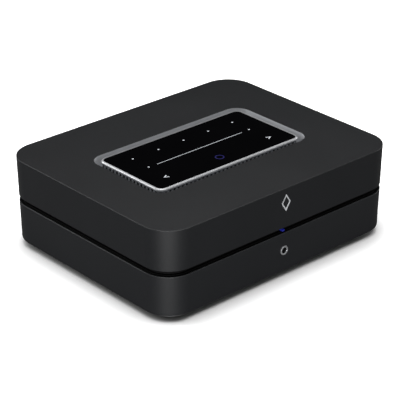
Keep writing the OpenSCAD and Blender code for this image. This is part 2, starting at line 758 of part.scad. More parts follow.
// Strip aerials along the side walls.
module antennas() color("#2a5a3a") for (s = [-1, 1]) {
    x = s * (case_w / 2 - inset(50) - wall - 1.2);
    block([x - 0.5, mid_y - 50, 46], [x + 0.5, mid_y - 8, 55]);
}

module power_board() color("#2f5f3f") {
    board(-87.5, -66, -8, 60, low_board_z);
    chip_row(-48, 46, low_top, 2, 24, [10, 8, 9]);
    // mains filter and plug rows
    block([-87, -50, low_top], [-77, -32, low_top + 14]);
    chip_row(-60, -56, low_top, 3, 13, [8, 5, 11]);
}

module transformer() color("#c8a736") {
    block([-56, -4, low_top], [-22, 26, low_top + 5]);
    block([-52, 0, low_top + 5], [-26, 22, low_top + 24]);
    difference() {
        block([-57, 5, low_top + 5], [-21, 17, low_top + 25]);
        block([-53, 4, low_top + 4], [-25, 18, low_top + 22]);
    }
}

module storage_capacitors() color("#1d1e2c") for (y = [-44, -24]) difference() {
    union() {
        bar_z(-66 + 40 * (y + 44) / 20, -38, low_top, low_top + 24, 9);
        bar_z(-66 + 40 * (y + 44) / 20, -38, low_top + 24, low_top + 24.4, 8);
    }
    for (a = [0, 60, 120]) translate([-66 + 40 * (y + 44) / 20, -38, low_top + 24.4])
        rotate(a) cube([12, 0.6, 0.6], center = true);
}

module amp_board() color("#2f5f3f") {
    board(8, -66, 87.5, 70, low_board_z);
    chip_row(18, -50, low_top, 4, 16, [9, 7, 8]);
    chip_row(24, 28, low_top, 4, 15, [7, 5, 2]);
}

module output_coils() color("#7d4a26") for (i = [0:3]) difference() {
    bar_z(post_xs[i] - 7, 44 - 5 * (i % 2), low_top, low_top + 11, 6);
    bar_z(post_xs[i] - 7, 44 - 5 * (i % 2), low_top + 9, low_top + 12, 3);
}

// Finned cooler of the amplifier chips.
module heat_sink() color("#8f9194") {
    block([12, -28, low_top], [58, 14, low_top + 5]);
    for (i = [0:8]) block([13 + i * 5.4, -28, low_top + 5 - eps], [14.6 + i * 5.4, 14, low_top + 22]);
}

module board_standoffs() color("#c9b06a") {
    for (p = concat(pillar_at, front_pillar_at)) {
        translate([p[0], p[1], flange_z]) cylinder(h = low_board_z - flange_z, r = 3, $fn = 6);
        bar_z(p[0], p[1], low_board_z - eps, low_top + 0.5, 1.45);
    }
    for (p = pillar_at) {
        translate([p[0], p[1], low_top]) cylinder(h = main_board_z - low_top, r = 3, $fn = 6);
        bar_z(p[0], p[1], main_board_z - eps, main_top + 1.5, 1.45);
        bar_z(p[0], p[1], main_top, main_top + 1.6, 2.7);
    }
}

top_cover();
lower_casing();
mid_frame();
base_plate();
rear_panel();
inlet_plate();
panel_surround();
vent_grille();
panel_bezel();
touch_glass();
panel_icons();
play_ring();
light_guide();
touch_board();
panel_tray();
touch_ribbon();
front_badge();
status_window();
headphone_ring();
headphone_jack();
front_board();
foot_front_left();
foot_front_right();
foot_rear_left();
foot_rear_right();
case_screws();
rear_screws();
mains_inlet();
inlet_pins();
network_socket();
usb_socket();
av_socket();
service_socket();
socket_tongues();
line_in_jack();
infrared_jack();
phono_socket();
terminal_collars();
post_stem_1();
post_stem_2();
post_stem_3();
post_stem_4();
post_washer_1();
post_washer_2();
post_washer_3();
post_washer_4();
post_cap_1();
post_cap_2();
post_cap_3();
post_cap_4();
main_board();
shield_cans();
antennas();
power_board();
transformer();
storage_capacitors();
amp_board();
output_coils();
heat_sink();
board_standoffs();
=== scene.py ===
import json
import math
import bmesh
import bpy
from mathutils import Matrix, Vector


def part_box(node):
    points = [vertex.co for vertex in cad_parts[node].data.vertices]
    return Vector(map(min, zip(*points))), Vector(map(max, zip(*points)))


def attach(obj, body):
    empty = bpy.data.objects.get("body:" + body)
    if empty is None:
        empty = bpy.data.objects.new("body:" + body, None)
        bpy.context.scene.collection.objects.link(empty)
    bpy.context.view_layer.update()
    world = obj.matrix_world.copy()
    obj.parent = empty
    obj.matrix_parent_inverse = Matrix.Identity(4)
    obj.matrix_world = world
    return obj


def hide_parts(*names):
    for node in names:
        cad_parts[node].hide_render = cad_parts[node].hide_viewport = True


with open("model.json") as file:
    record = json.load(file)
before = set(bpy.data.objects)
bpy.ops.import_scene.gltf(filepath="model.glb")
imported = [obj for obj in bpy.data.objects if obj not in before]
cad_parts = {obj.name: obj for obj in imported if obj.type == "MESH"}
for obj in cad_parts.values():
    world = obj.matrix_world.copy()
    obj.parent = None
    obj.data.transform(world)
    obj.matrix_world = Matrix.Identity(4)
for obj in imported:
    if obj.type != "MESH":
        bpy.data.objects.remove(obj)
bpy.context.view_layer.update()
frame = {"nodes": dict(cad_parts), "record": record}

# a streaming amplifier: two powder-coated shells, a touch panel in the top, sockets on the back
scene = bpy.context.scene
print("frame loaded with", len(frame["nodes"]), "nodes")


def boxOf(node):
    low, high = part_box(node)
    return low * 1000, high * 1000  # millimetres


def toLinear(code):
    parts = [int(code[i:i + 2], 16) / 255 for i in (0, 2, 4)]
    return (*(c / 12.92 if c <= 0.04045 else ((c + 0.055) / 1.055) ** 2.4 for c in parts), 1.0)


def addNode(tree, kind, settings=None, sockets=None):
    node = tree.nodes.new(kind)
    for key, value in (settings or {}).items():
        setattr(node, key, value)
    for key, value in (sockets or {}).items():
        for item in value if isinstance(value, list) else [value]:
            if isinstance(item, bpy.types.NodeSocket):
                tree.links.new(item, node.inputs[key])
            else:
                node.inputs[key].default_value = item
    return node


# the case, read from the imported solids
coverLow, coverHigh = boxOf("top_cover")
casingLow, casingHigh = boxOf("lower_casing")
case = {
    "width": coverHigh.x - coverLow.x,
    "depth": coverHigh.y - coverLow.y,
    "middle": (coverHigh.y + coverLow.y) / 2,
    "top": coverHigh.z,
    "seamHigh": coverLow.z,
    "seamLow": casingHigh.z,
    "base": casingLow.z,
    "cornerRadius": 22,
    "lean": 1.5,
    "wall": 2.4,
    "plate": 2.6,
    "cornerSteps": 28,
}
case["front"] = case["middle"] - case["depth"] / 2
case["back"] = case["middle"] + case["depth"] / 2


def leanAt(height):
    return case["lean"] * (case["top"] - height) / (case["top"] - case["base"])


# meshes
def addPiece(name, points, faces=(), edges=()):
    mesh = bpy.data.meshes.new(name)
    mesh.from_pydata([Vector(p) * 0.001 for p in points], edges, faces)
    piece = bpy.data.objects.new(name, mesh)
    scene.collection.objects.link(piece)
    return piece


def dropPiece(piece):
    bpy.data.objects.remove(piece, do_unlink=True)


def bakeModifiers(piece):
    bpy.context.view_layer.update()
    graph = bpy.context.evaluated_depsgraph_get()
    mesh = bpy.data.meshes.new_from_object(piece.evaluated_get(graph), depsgraph=graph)
    piece.modifiers.clear()
    piece.data = mesh
    return piece


def fixNormals(*pieces):
    for piece in pieces:
        work = bmesh.new()
        work.from_mesh(piece.data)
        bmesh.ops.recalc_face_normals(work, faces=work.faces)
        work.to_mesh(piece.data)
        work.free()


def cutPiece(piece, *cutters):
    for cutter in cutters:
        knife = piece.modifiers.new("cut", "BOOLEAN")
        knife.operation = "DIFFERENCE"
        knife.solver = "EXACT"
        knife.object = cutter
    bakeModifiers(piece)
    for cutter in cutters:
        dropPiece(cutter)
    return piece


def joinPieces(name, parts):
    work = bmesh.new()
    for part in parts:
        work.from_mesh(part.data)
        dropPiece(part)
    bmesh.ops.remove_doubles(work, verts=work.verts, dist=0.00004)
    mesh = bpy.data.meshes.new(name)
    work.to_mesh(mesh)
    work.free()
    piece = bpy.data.objects.new(name, mesh)
    scene.collection.objects.link(piece)
    return piece


def bevelPiece(piece, width, segments=2, angle=38):
    bevel = piece.modifiers.new("bevel", "BEVEL")
    bevel.width = width * 0.001
    bevel.segments = segments
    bevel.limit_method = "ANGLE"
    bevel.angle_limit = math.radians(angle)
    return bakeModifiers(piece)


def smoothPiece(piece, angle=34):
    work = bmesh.new()
    work.from_mesh(piece.data)
    bmesh.ops.remove_doubles(work, verts=work.verts, dist=0.000002)
    bmesh.ops.recalc_face_normals(work, faces=work.faces)
    work.to_mesh(piece.data)
    work.free()
    piece.data.shade_smooth()
    piece.data.set_sharp_from_angle(angle=math.radians(angle))
    even = piece.modifiers.new("even", "WEIGHTED_NORMAL")
    even.keep_sharp = True
    return bakeModifiers(piece)


def softCopy(name, node, bevel, segments=2):
    # merged copy of a CAD solid with its sharp edges eased
    piece = bpy.data.objects.new(name, frame["nodes"][node].data.copy())
    scene.collection.objects.link(piece)
    work = bmesh.new()
    work.from_mesh(piece.data)
    bmesh.ops.remove_doubles(work, verts=work.verts, dist=0.000002)
    bmesh.ops.dissolve_limit(work, angle_limit=math.radians(1), verts=work.verts, edges=work.edges)
    work.to_mesh(piece.data)
    work.free()
    return bevelPiece(piece, bevel, segments)


def blockPiece(name, low, high, bevel=0, segments=2):
    xs, ys, zs = zip(low, high)
    points = [(x, y, z) for x in xs for y in ys for z in zs]
    faces = [(0, 1, 3, 2), (4, 6, 7, 5), (0, 4, 5, 1), (2, 3, 7, 6), (0, 2, 6, 4), (1, 5, 7, 3)]
    piece = addPiece(name, points, faces)
    return bevelPiece(piece, bevel, segments) if bevel else piece


def arcPoints(centre, radius, start, end, steps):
    angles = [math.radians(start + (end - start) * i / steps) for i in range(steps + 1)]
    return [(centre[0] + radius * math.cos(a), centre[1] + radius * math.sin(a)) for a in angles]


def lathePiece(name, profile, place, axis="z", steps=48, closed=True, shape=None):
    # turns (radius, along) points about an axis; a point with no radius closes the end
    points, rings, faces = [], [], []
    for radius, along in profile:
        ring = []
        for i in range(steps if radius > 0 else 1):
            turn = 2 * math.pi * i / steps
            reach = radius * (shape(turn, along) if shape else 1)
            across = (reach * math.cos(turn), reach * math.sin(turn))
            spot = {"z": (across[0], across[1], along), "y": (across[0], along, across[1])}[axis]
            ring.append(len(points))
            points.append([p + q for p, q in zip(place, spot)])
        rings.append(ring)
    pairs = list(zip(rings, rings[1:])) + ([(rings[-1], rings[0])] if closed else [])
    for first, second in pairs:
        if len(first) == 1 and len(second) == 1:
            continue
        for i in range(steps):
            j = (i + 1) % steps
            corners = [first[i % len(first)], first[j % len(first)],
                       second[j % len(second)], second[i % len(second)]]
            faces.append(list(dict.fromkeys(corners)))
    return addPiece(name, points, faces)


# geometry node trees: each takes its sizes as named inputs
def newTree(name, sockets):
    tree = bpy.data.node_groups.new(name, "GeometryNodeTree")
    tree.interface.new_socket("Geometry", in_out="INPUT", socket_type="NodeSocketGeometry")
    for label, kind in sockets.items():
        tree.interface.new_socket(label, in_out="INPUT", socket_type="NodeSocket" + kind)
    tree.interface.new_socket("Geometry", in_out="OUTPUT", socket_type="NodeSocketGeometry")
    return tree, addNode(tree, "NodeGroupInput").outputs


def endTree(tree, geometry, given):
    # moves the result to its centre, makes its copies real and gives it its finish
    if "Centre" in given:
        placed = addNode(tree, "GeometryNodeTransform", {}, {
            "Geometry": geometry, "Translation": given["Centre"]})
        geometry = placed.outputs[0]
    real = addNode(tree, "GeometryNodeRealizeInstances", {}, {"Geometry": geometry})
    dressed = addNode(tree, "GeometryNodeSetMaterial", {}, {
        "Geometry": real.outputs[0], "Material": given["Material"]})
    addNode(tree, "NodeGroupOutput", {}, {"Geometry": dressed.outputs[0]})
    return tree


def addOutline(tree, width, depth, radius, steps):
    square = addNode(tree, "GeometryNodeCurvePrimitiveQuadrilateral", {"mode": "RECTANGLE"},
                     {"Width": width, "Height": depth})
    rounded = addNode(tree, "GeometryNodeFilletCurve", {"mode": "POLY"},
                      {"Curve": square.outputs[0], "Radius": radius, "Count": steps})
    return rounded.outputs[0]


def runTree(piece, tree, values):
    modifier = piece.modifiers.new(tree.name, "NODES")
    modifier.node_group = tree
    for item in tree.interface.items_tree:
        if item.in_out == "INPUT" and item.name in values:
            modifier[item.identifier] = values[item.name]
    return bakeModifiers(piece)


outlineSockets = {"Width": "Float", "Depth": "Float", "Corner Radius": "Float", "Corner Steps": "Int"}


def buildSweepTree():
    # a profile carried round a rounded rectangle
    tree, given = newTree("sweptBand", {**outlineSockets, "Centre": "Vector", "Material": "Material"})
    path = addOutline(tree, given["Width"], given["Depth"], given["Corner Radius"], given["Corner Steps"])
    profile = addNode(tree, "GeometryNodeMeshToCurve", {}, {"Mesh": given["Geometry"]})
    band = addNode(tree, "GeometryNodeCurveToMesh", {}, {"Curve": path, "Profile Curve": profile.outputs[0]})
    return endTree(tree, band.outputs[0], given)


def buildRingTree():
    # a flat field between two rounded rectangles
    tree, given = newTree("flatRing", {
        **outlineSockets, "Hole Width": "Float", "Hole Depth": "Float", "Hole Radius": "Float",
        "Centre": "Vector", "Material": "Material"})
    rim = addOutline(tree, given["Width"], given["Depth"], given["Corner Radius"], given["Corner Steps"])
    hole = addOutline(tree, given["Hole Width"], given["Hole Depth"], given["Hole Radius"],
                      given["Corner Steps"])
    both = addNode(tree, "GeometryNodeJoinGeometry", {}, {"Geometry": [rim, hole]})
    field = addNode(tree, "GeometryNodeFillCurve", {"mode": "TRIANGLES"}, {"Curve": both.outputs[0]})
    return endTree(tree, field.outputs[0], given)


def buildPathTree():
    # copies of a shape spaced evenly along a rounded rectangle, turned with it
    tree, given = newTree("copiesAlongOutline", {
        **outlineSockets, "Count": "Int", "Centre": "Vector", "Material": "Material"})
    path = addOutline(tree, given["Width"], given["Depth"], given["Corner Radius"], given["Corner Steps"])
    spots = addNode(tree, "GeometryNodeCurveToPoints", {"mode": "COUNT"}, {
        "Curve": path, "Count": given["Count"]})
    turn = addNode(tree, "FunctionNodeAlignRotationToVector", {"axis": "X", "pivot_axis": "Z"},
                   {"Vector": spots.outputs["Tangent"]})
    copies = addNode(tree, "GeometryNodeInstanceOnPoints", {}, {
        "Points": spots.outputs["Points"], "Instance": given["Geometry"], "Rotation": turn.outputs[0]})
    return endTree(tree, copies.outputs[0], given)


def buildRowTree():
    # copies of a shape in a straight row
    tree, given = newTree("copiesInRow", {
        "Count": "Int", "Start": "Vector", "Step": "Vector", "Material": "Material"})
    line = addNode(tree, "GeometryNodeMeshLine", {"mode": "OFFSET"}, {
        "Count": given["Count"], "Start Location": given["Start"], "Offset": given["Step"]})
    copies = addNode(tree, "GeometryNodeInstanceOnPoints", {},
                     {"Points": line.outputs[0], "Instance": given["Geometry"]})
    return endTree(tree, copies.outputs[0], given)


def buildSpotTree():
    # one copy of an item at each vertex of the piece
    tree, given = newTree("copiesAtSpots", {"Item": "Object", "Material": "Material"})
    item = addNode(tree, "GeometryNodeObjectInfo", {}, {"Object": given["Item"]})
    copies = addNode(tree, "GeometryNodeInstanceOnPoints", {},
                     {"Points": given["Geometry"], "Instance": item.outputs["Geometry"]})
    return endTree(tree, copies.outputs[0], given)


def buildRoundTree():
    # copies of a shape round a circle about the Y axis
    tree, given = newTree("copiesRoundAxis", {
        "Count": "Int", "Radius": "Float", "Centre": "Vector", "Material": "Material"})
    circle = addNode(tree, "GeometryNodeCurvePrimitiveCircle", {},
                     {"Resolution": given["Count"], "Radius": given["Radius"]})
    upright = addNode(tree, "GeometryNodeTransform", {},
                      {"Geometry": circle.outputs[0], "Rotation": (math.pi / 2, 0, 0)})
    outward = addNode(tree, "GeometryNodeInputPosition")
    turn = addNode(tree, "FunctionNodeAlignRotationToVector", {"axis": "X", "pivot_axis": "Y"},
                   {"Vector": outward.outputs[0]})
    copies = addNode(tree, "GeometryNodeInstanceOnPoints", {}, {
        "Points": upright.outputs[0], "Instance": given["Geometry"], "Rotation": turn.outputs[0]})
    return endTree(tree, copies.outputs[0], given)


def buildCoilTree():
    # a wire wound in a helix; the piece is the wire's cross-section
    tree, given = newTree("woundWire", {
        "Turns": "Float", "Radius": "Float", "Length": "Float", "Resolution": "Int",
        "Centre": "Vector", "Material": "Material"})
    helix = addNode(tree, "GeometryNodeCurveSpiral", {}, {
        "Resolution": given["Resolution"], "Rotations": given["Turns"], "Start Radius": given["Radius"],
        "End Radius": given["Radius"], "Height": given["Length"]})
    section = addNode(tree, "GeometryNodeMeshToCurve", {}, {"Mesh": given["Geometry"]})
    wire = addNode(tree, "GeometryNodeCurveToMesh", {}, {
        "Curve": helix.outputs[0], "Profile Curve": section.outputs[0], "Fill Caps": True})
    return endTree(tree, wire.outputs[0], given)


sweepTree = buildSweepTree()
ringTree = buildRingTree()
pathTree = buildPathTree()
rowTree = buildRowTree()
spotTree = buildSpotTree()
roundTree = buildRoundTree()
coilTree = buildCoilTree()
print("node trees built")


# finishes, one for each material slot of the record
# colours are sRGB; grain is the size of the pattern in millimetres and relief its height

finishes = {
    # epoxy powder coat on die-cast aluminium, satin: even soft sheen, faint orange peel
    "shell_upper": {"title": "satinPowderCoat", "colour": "131416", "shade": "17181a", "grain": 0.9,
                    "relief": 0.006, "rough": (0.42, 0.48), "specular": 0.4},
    # the same coat from another batch: a shade lighter
    "shell_lower": {"title": "satinPowderCoatLower", "colour": "151618", "shade": "191a1c", "grain": 0.9,
                    "relief": 0.006, "rough": (0.42, 0.48), "specular": 0.4},
    # glass-filled ABS, spark-eroded mould: dead matte; its own black, set darker still as painted shade for
    # the recessed groove and the bore
    "groove_black": {"title": "blackAbsWithPaintedShade", "colour": "030303", "shade": "060607", "grain": 0.6,
                     "relief": 0.02, "rough": (0.7, 0.85), "specular": 0.1},
    # cold-rolled steel sheet, sprayed matte black: fine dry texture
    "base_steel": {"title": "sprayedSteelSheet", "colour": "141415", "shade": "1a1a1b", "grain": 0.8,
                   "relief": 0.015, "rough": (0.5, 0.65)},
    # wrinkle paint baked on steel: coarse dull crinkle
    "rear_black": {"title": "wrinklePaintedSteel", "colour": "101011", "shade": "19191b", "grain": 1.1,
                   "relief": 0.05, "rough": (0.42, 0.62)},
    # clear anodised aluminium, brushed along the wall: pale satin with long fine lines
    "recess_satin": {"title": "brushedAnodisedAluminium", "colour": "cfd1d4", "shade": "bcbec2",
                     "grain": 0.35, "relief": 0.004, "rough": (0.42, 0.52), "metallic": 0.15,
                     "brush": (0.04, 0.04, 1)},
    # pierced aluminium, grey anodised: thin satin bars and dark holes
    "grille_dark": {"title": "greyAnodisedAluminium", "colour": "808286", "shade": "6e7074", "grain": 0.5,
                    "relief": 0.004, "rough": (0.42, 0.55), "metallic": 0.15},
    # aluminium edge cut with a diamond tool, then anodised: bright silk line with fine tool marks
    "bezel_bright": {"title": "diamondCutAluminium", "colour": "c6c7c9", "shade": "babcbf", "grain": 0.3,
                     "relief": 0.0, "rough": (0.36, 0.42), "metallic": 0.6, "brush": (0.05, 0.05, 1)},
    # float glass printed black on its back: deep gloss, slight finger haze
    "glass_black": {"title": "backPrintedGlass", "colour": "020203", "shade": "030304", "grain": 26,
                    "relief": 0.0, "rough": (0.03, 0.09), "ior": 1.52},
    # acrylic mark lit from behind: soft even white
    "icon_white": {"title": "litAcrylicWhite", "colour": "c0c4c8", "shade": "b2b6ba", "grain": 0.6,
                   "relief": 0.002, "rough": (0.35, 0.45), "ior": 1.49, "glow": ("e8eef4", 0.2)},
    # the same acrylic over a blue lamp: deep even blue
    "play_blue": {"title": "litAcrylicBlue", "colour": "0c083c", "shade": "0a0734", "grain": 0.6,
                  "relief": 0.002, "rough": (0.35, 0.45), "ior": 1.49, "glow": ("1a12c0", 0.09)},
    # moulded acrylic pipe that carries a blue lamp's light to the groove
    "status_blue": {"title": "litPipeBlue", "colour": "101560", "shade": "0d1152", "grain": 0.6,
                    "relief": 0.002, "rough": (0.3, 0.4), "ior": 1.49, "glow": ("3040e0", 0.12)},
    # frosted acrylic sheet: milky, soft highlight
    "guide_clear": {"title": "frostedAcrylic", "colour": "d5dade", "shade": "c8cdd2", "grain": 0.5,
                    "relief": 0.01, "rough": (0.45, 0.6), "ior": 1.49},
    # solder mask over copper on glass-epoxy: green gloss with traces under it
    "board_green": {"title": "solderMaskBoard", "colour": "0f3d22", "shade": "1c5a34", "grain": 2.4,
                    "relief": 0.02, "rough": (0.28, 0.4), "pattern": "traces"},
    # ABS, moulded with a light texture: even low sheen
    "tray_black": {"title": "mouldedTrayAbs", "colour": "111112", "shade": "161617", "grain": 0.7,
                   "relief": 0.015, "rough": (0.5, 0.65)},
    # polyester flat cable: pale, a rib over every conductor
    "ribbon_pale": {"title": "ribbedFlatCable", "colour": "d3cfc2", "shade": "b8b2a2", "grain": 1.0,
                    "relief": 0.05, "rough": (0.35, 0.5), "pattern": "stripes"},
    # bright-rolled aluminium mark, satin: soft silver line
    "badge_silver": {"title": "satinAluminium", "colour": "c4c6c9", "shade": "b6b8bb", "grain": 0.4,
                     "relief": 0.003, "rough": (0.35, 0.45), "metallic": 0.2},
    # turned brass with satin chrome plate: soft silver ring
    "ring_silver": {"title": "chromedBrass", "colour": "b9babd", "shade": "adafb2", "grain": 0.5,
                    "relief": 0.0, "rough": (0.3, 0.38), "metallic": 0.7},
    # nylon, moulded: slightly waxy black
    "jack_black": {"title": "mouldedBlackNylon", "colour": "0c0c0d", "shade": "121213", "grain": 0.6,
                   "relief": 0.01, "rough": (0.4, 0.55)},
    # moulded rubber, slightly dusty: no sheen, mottled
    "foot_rubber": {"title": "mouldedRubber", "colour": "141415", "shade": "222224", "grain": 1.6,
                    "relief": 0.02, "rough": (0.72, 0.9)},
    # zinc-plated steel: cool grey, clouded
    "screw_steel": {"title": "zincPlatedSteel", "colour": "96989b", "shade": "7f8285", "grain": 1.2,
                    "relief": 0.004, "rough": (0.28, 0.42), "metallic": 1},
    # blackened steel: dark with an oily edge shine
    "screw_black": {"title": "blackOxideSteel", "colour": "2a2a2c", "shade": "1d1d1f", "grain": 0.9,
                    "relief": 0.006, "rough": (0.3, 0.45), "metallic": 1},
    # polyester moulding: hard black with a low sheen
    "inlet_black": {"title": "mouldedBlackPbt", "colour": "0f0f10", "shade": "161617", "grain": 0.7,
                    "relief": 0.012, "rough": (0.38, 0.52)},
    # nickel-plated brass: warm silver, polished by the plug
    "pin_nickel": {"title": "nickelPlatedBrass", "colour": "cfccc4", "shade": "bdb9b0", "grain": 0.8,
                   "relief": 0.002, "rough": (0.14, 0.26), "metallic": 1},
    # nickel-plated sheet steel, stamped: satin with rolling marks
    "socket_nickel": {"title": "stampedNickelSheet", "colour": "b4b3b0", "shade": "9c9b98", "grain": 0.5,
                      "relief": 0.004, "rough": (0.24, 0.38), "metallic": 1, "brush": (1, 0.1, 0.1)},
    # liquid crystal polymer, moulded thin: dull black
    "tongue_black": {"title": "mouldedBlackLcp", "colour": "101011", "shade": "161618", "grain": 0.5,
                     "relief": 0.008, "rough": (0.45, 0.6)},
    # gold flash over nickel on turned brass: warm, clean shine
    "phono_gold": {"title": "goldPlatedBrass", "colour": "d8b25a", "shade": "c79f48", "grain": 0.8,
                   "relief": 0.002, "rough": (0.16, 0.26), "metallic": 1},
    # polycarbonate from a polished mould: smooth black
    "collar_black": {"title": "mouldedBlackPolycarbonate", "colour": "0b0b0c", "shade": "101012",
                     "grain": 0.8, "relief": 0.006, "rough": (0.22, 0.34)},
    # gold over nickel on rolled brass: warm, a little duller than the turned pieces
    "stem_gold": {"title": "goldPlatedThread", "colour": "d4ad56", "shade": "b98f3e", "grain": 0.7,
                  "relief": 0.003, "rough": (0.2, 0.32), "metallic": 1},
    # clear-coated moulded cap: glossy, colour deep under the skin
    "cap_black": {"title": "glossCapBlack", "colour": "0e0e10", "shade": "131315", "grain": 1.0,
                  "relief": 0.004, "rough": (0.16, 0.26), "coat": 0.5},
    "cap_red": {"title": "glossCapRed", "colour": "8e1313", "shade": "a01818", "grain": 1.0,
                "relief": 0.004, "rough": (0.16, 0.26), "coat": 0.5},
    # tinned sheet steel: bright grey, slightly wavy
    "shield_tin": {"title": "tinnedSheet", "colour": "b8b9bb", "shade": "a5a6a9", "grain": 3.0,
                   "relief": 0.02, "rough": (0.25, 0.4), "metallic": 1},
    # polyester tape over ferrite: yellow, lap lines
    "core_tape": {"title": "windingTape", "colour": "c09a24", "shade": "a5811a", "grain": 2.6,
                  "relief": 0.03, "rough": (0.3, 0.45), "pattern": "laps"},
    # shrunk PVC sleeve: dark blue-black, glossy
    "can_sleeve": {"title": "shrunkSleeve", "colour": "12131f", "shade": "1a1b2a", "grain": 1.4,
                   "relief": 0.01, "rough": (0.2, 0.32)},
    # enamelled copper wire: brown-orange lacquer
    "coil_copper": {"title": "enamelledCopper", "colour": "9a5226", "shade": "7c3e1a", "grain": 0.6,
                    "relief": 0.004, "rough": (0.22, 0.34), "metallic": 1},
    # extruded aluminium, as drawn: dull with die lines
    "sink_grey": {"title": "extrudedAluminium", "colour": "8b8d90", "shade": "797b7f", "grain": 0.5,
                  "relief": 0.006, "rough": (0.4, 0.55), "metallic": 1, "brush": (1, 0.06, 1)},
    # turned hexagon brass: dull yellow
    "standoff_brass": {"title": "turnedBrass", "colour": "b69a55", "shade": "a18643", "grain": 0.4,
                       "relief": 0.003, "rough": (0.3, 0.42), "metallic": 1, "brush": (0.2, 0.2, 1)},
}

# sizes are in millimetres; at scale 1 a wave texture repeats every 2 pi / 20 units
pattern = {"coatRough": 0.08, "cloudSize": 45, "cloudShare": 0.35, "clip": (0.3, 0.7), "brickPitch": 4,
           "waveTurns": 2 * math.pi / 20}


def makeFinish(recipe):
    material = bpy.data.materials.new(recipe["title"])
    material.use_nodes = True
    tree = material.node_tree
    shader = next(node for node in tree.nodes if node.type == "BSDF_PRINCIPLED")
    shader.inputs["Metallic"].default_value = recipe.get("metallic", 0)
    if "ior" in recipe:
        shader.inputs["IOR"].default_value = recipe["ior"]
    if "specular" in recipe:
        shader.inputs["Specular IOR Level"].default_value = recipe["specular"]
    if "coat" in recipe:
        shader.inputs["Coat Weight"].default_value = recipe["coat"]
        shader.inputs["Coat Roughness"].default_value = pattern["coatRough"]
    if "glow" in recipe:
        shader.inputs["Emission Color"].default_value = toLinear(recipe["glow"][0])
        shader.inputs["Emission Strength"].default_value = recipe["glow"][1]
    spot = addNode(tree, "ShaderNodeTexCoord").outputs["Object"]
    mapped = addNode(tree, "ShaderNodeMapping", {}, {"Vector": spot, "Scale": recipe.get("brush", (1, 1, 1))})
    density = 1000 / recipe["grain"]
    speckle = addNode(tree, "ShaderNodeTexNoise", {}, {
        "Vector": mapped.outputs[0], "Scale": density, "Detail": 3.0, "Roughness": 0.55})
    height = speckle.outputs["Fac"]
    blend = height
    if recipe.get("pattern") == "traces":
        wires = addNode(tree, "ShaderNodeTexBrick", {"offset": 0.35, "squash": 0.6, "squash_frequency": 3}, {
            "Vector": spot, "Color1": (1, 1, 1, 1), "Color2": (0.7, 0.7, 0.7, 1), "Mortar": (0, 0, 0, 1),
            "Scale": density / pattern["brickPitch"], "Mortar Size": 0.06, "Mortar Smooth": 0.3})
        height = blend = wires.outputs["Fac"]
    elif recipe.get("pattern") in ("stripes", "laps"):
        direction = "X" if recipe["pattern"] == "stripes" else "Y"
        ribs = addNode(tree, "ShaderNodeTexWave", {"bands_direction": direction}, {
            "Vector": spot, "Scale": density * pattern["waveTurns"], "Distortion": 0.0})
        height = blend = ribs.outputs["Fac"]
    cloud = addNode(tree, "ShaderNodeTexNoise", {}, {
        "Vector": spot, "Scale": 1000 / pattern["cloudSize"], "Detail": 2.0})
    both = addNode(tree, "ShaderNodeMix", {"data_type": "FLOAT"}, {
        "Factor": pattern["cloudShare"], "A": blend, "B": cloud.outputs["Fac"]})
    dark, pale = pattern["clip"]
    share = addNode(tree, "ShaderNodeMapRange", {}, {
        "Value": both.outputs["Result"], "From Min": dark, "From Max": pale, "To Min": 0.0, "To Max": 1.0})
    colour = addNode(tree, "ShaderNodeMixRGB", {}, {
        "Fac": share.outputs[0], "Color1": toLinear(recipe["colour"]), "Color2": toLinear(recipe["shade"])})
    tree.links.new(colour.outputs[0], shader.inputs["Base Color"])
    low, high = recipe["rough"]
    gloss = addNode(tree, "ShaderNodeMapRange", {}, {
        "Value": both.outputs["Result"], "From Min": dark, "From Max": pale, "To Min": low, "To Max": high})
    tree.links.new(gloss.outputs[0], shader.inputs["Roughness"])
    if recipe["relief"]:
        bump = addNode(tree, "ShaderNodeBump", {}, {
            "Height": height, "Strength": 1.0, "Distance": recipe["relief"] * 0.001})
        tree.links.new(bump.outputs[0], shader.inputs["Normal"])
    return material


surface = {slot: makeFinish(recipe) for slot, recipe in finishes.items()}
print("finishes made:", len(surface))

for entry in frame["record"]["subparts"]:
    node = frame["nodes"][entry["node"]]
    for place in node.material_slots:
        place.material = surface[entry["material_slot"]]


def settlePiece(piece, slot, nodes=(), body="chassis", angle=34):
    smoothPiece(piece, angle)
    piece.data.materials.clear()
    piece.data.materials.append(surface[slot])
    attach(piece, body)
    if nodes:
        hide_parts(*nodes)
    return piece


def settleCopies(copies):
    # name: (CAD node, slot, bevel in millimetres, bevel segments)
    for name, (node, slot, bevel, segments) in copies.items():
        settlePiece(softCopy(name, node, bevel, segments), slot, [node])


# sweeps round the case and the recess; profile points are (inset, height)
def outlineInputs(width, depth, radius, steps, height=0.0):
    return {"Width": width / 1000, "Depth": depth / 1000, "Corner Radius": radius / 1000,
            "Corner Steps": steps, "Centre": (0.0, case["middle"] / 1000, height / 1000)}


def sweepPiece(name, profile, size, slot, closed=True):
    points = [(-inset, -height, 0) for inset, height in profile]
    edges = [(i, i + 1) for i in range(len(points) - 1)]
    if closed:
        edges.append((len(points) - 1, 0))
    piece = addPiece(name, points, edges=edges)
    return runTree(piece, sweepTree, {**outlineInputs(**size), "Material": surface[slot]})


def fieldPiece(name, size, inset, hole, holeInset, height, slot):
    piece = addPiece(name, [(0, 0, 0)])
    rim = outlineInputs(size["width"] - 2 * inset, size["depth"] - 2 * inset, size["radius"] - inset,
                        size["steps"], height)
    return runTree(piece, ringTree, {
        **rim, "Hole Width": (hole["width"] - 2 * holeInset) / 1000,
        "Hole Depth": (hole["depth"] - 2 * holeInset) / 1000,
        "Hole Radius": (hole["radius"] - holeInset) / 1000, "Material": surface[slot]})


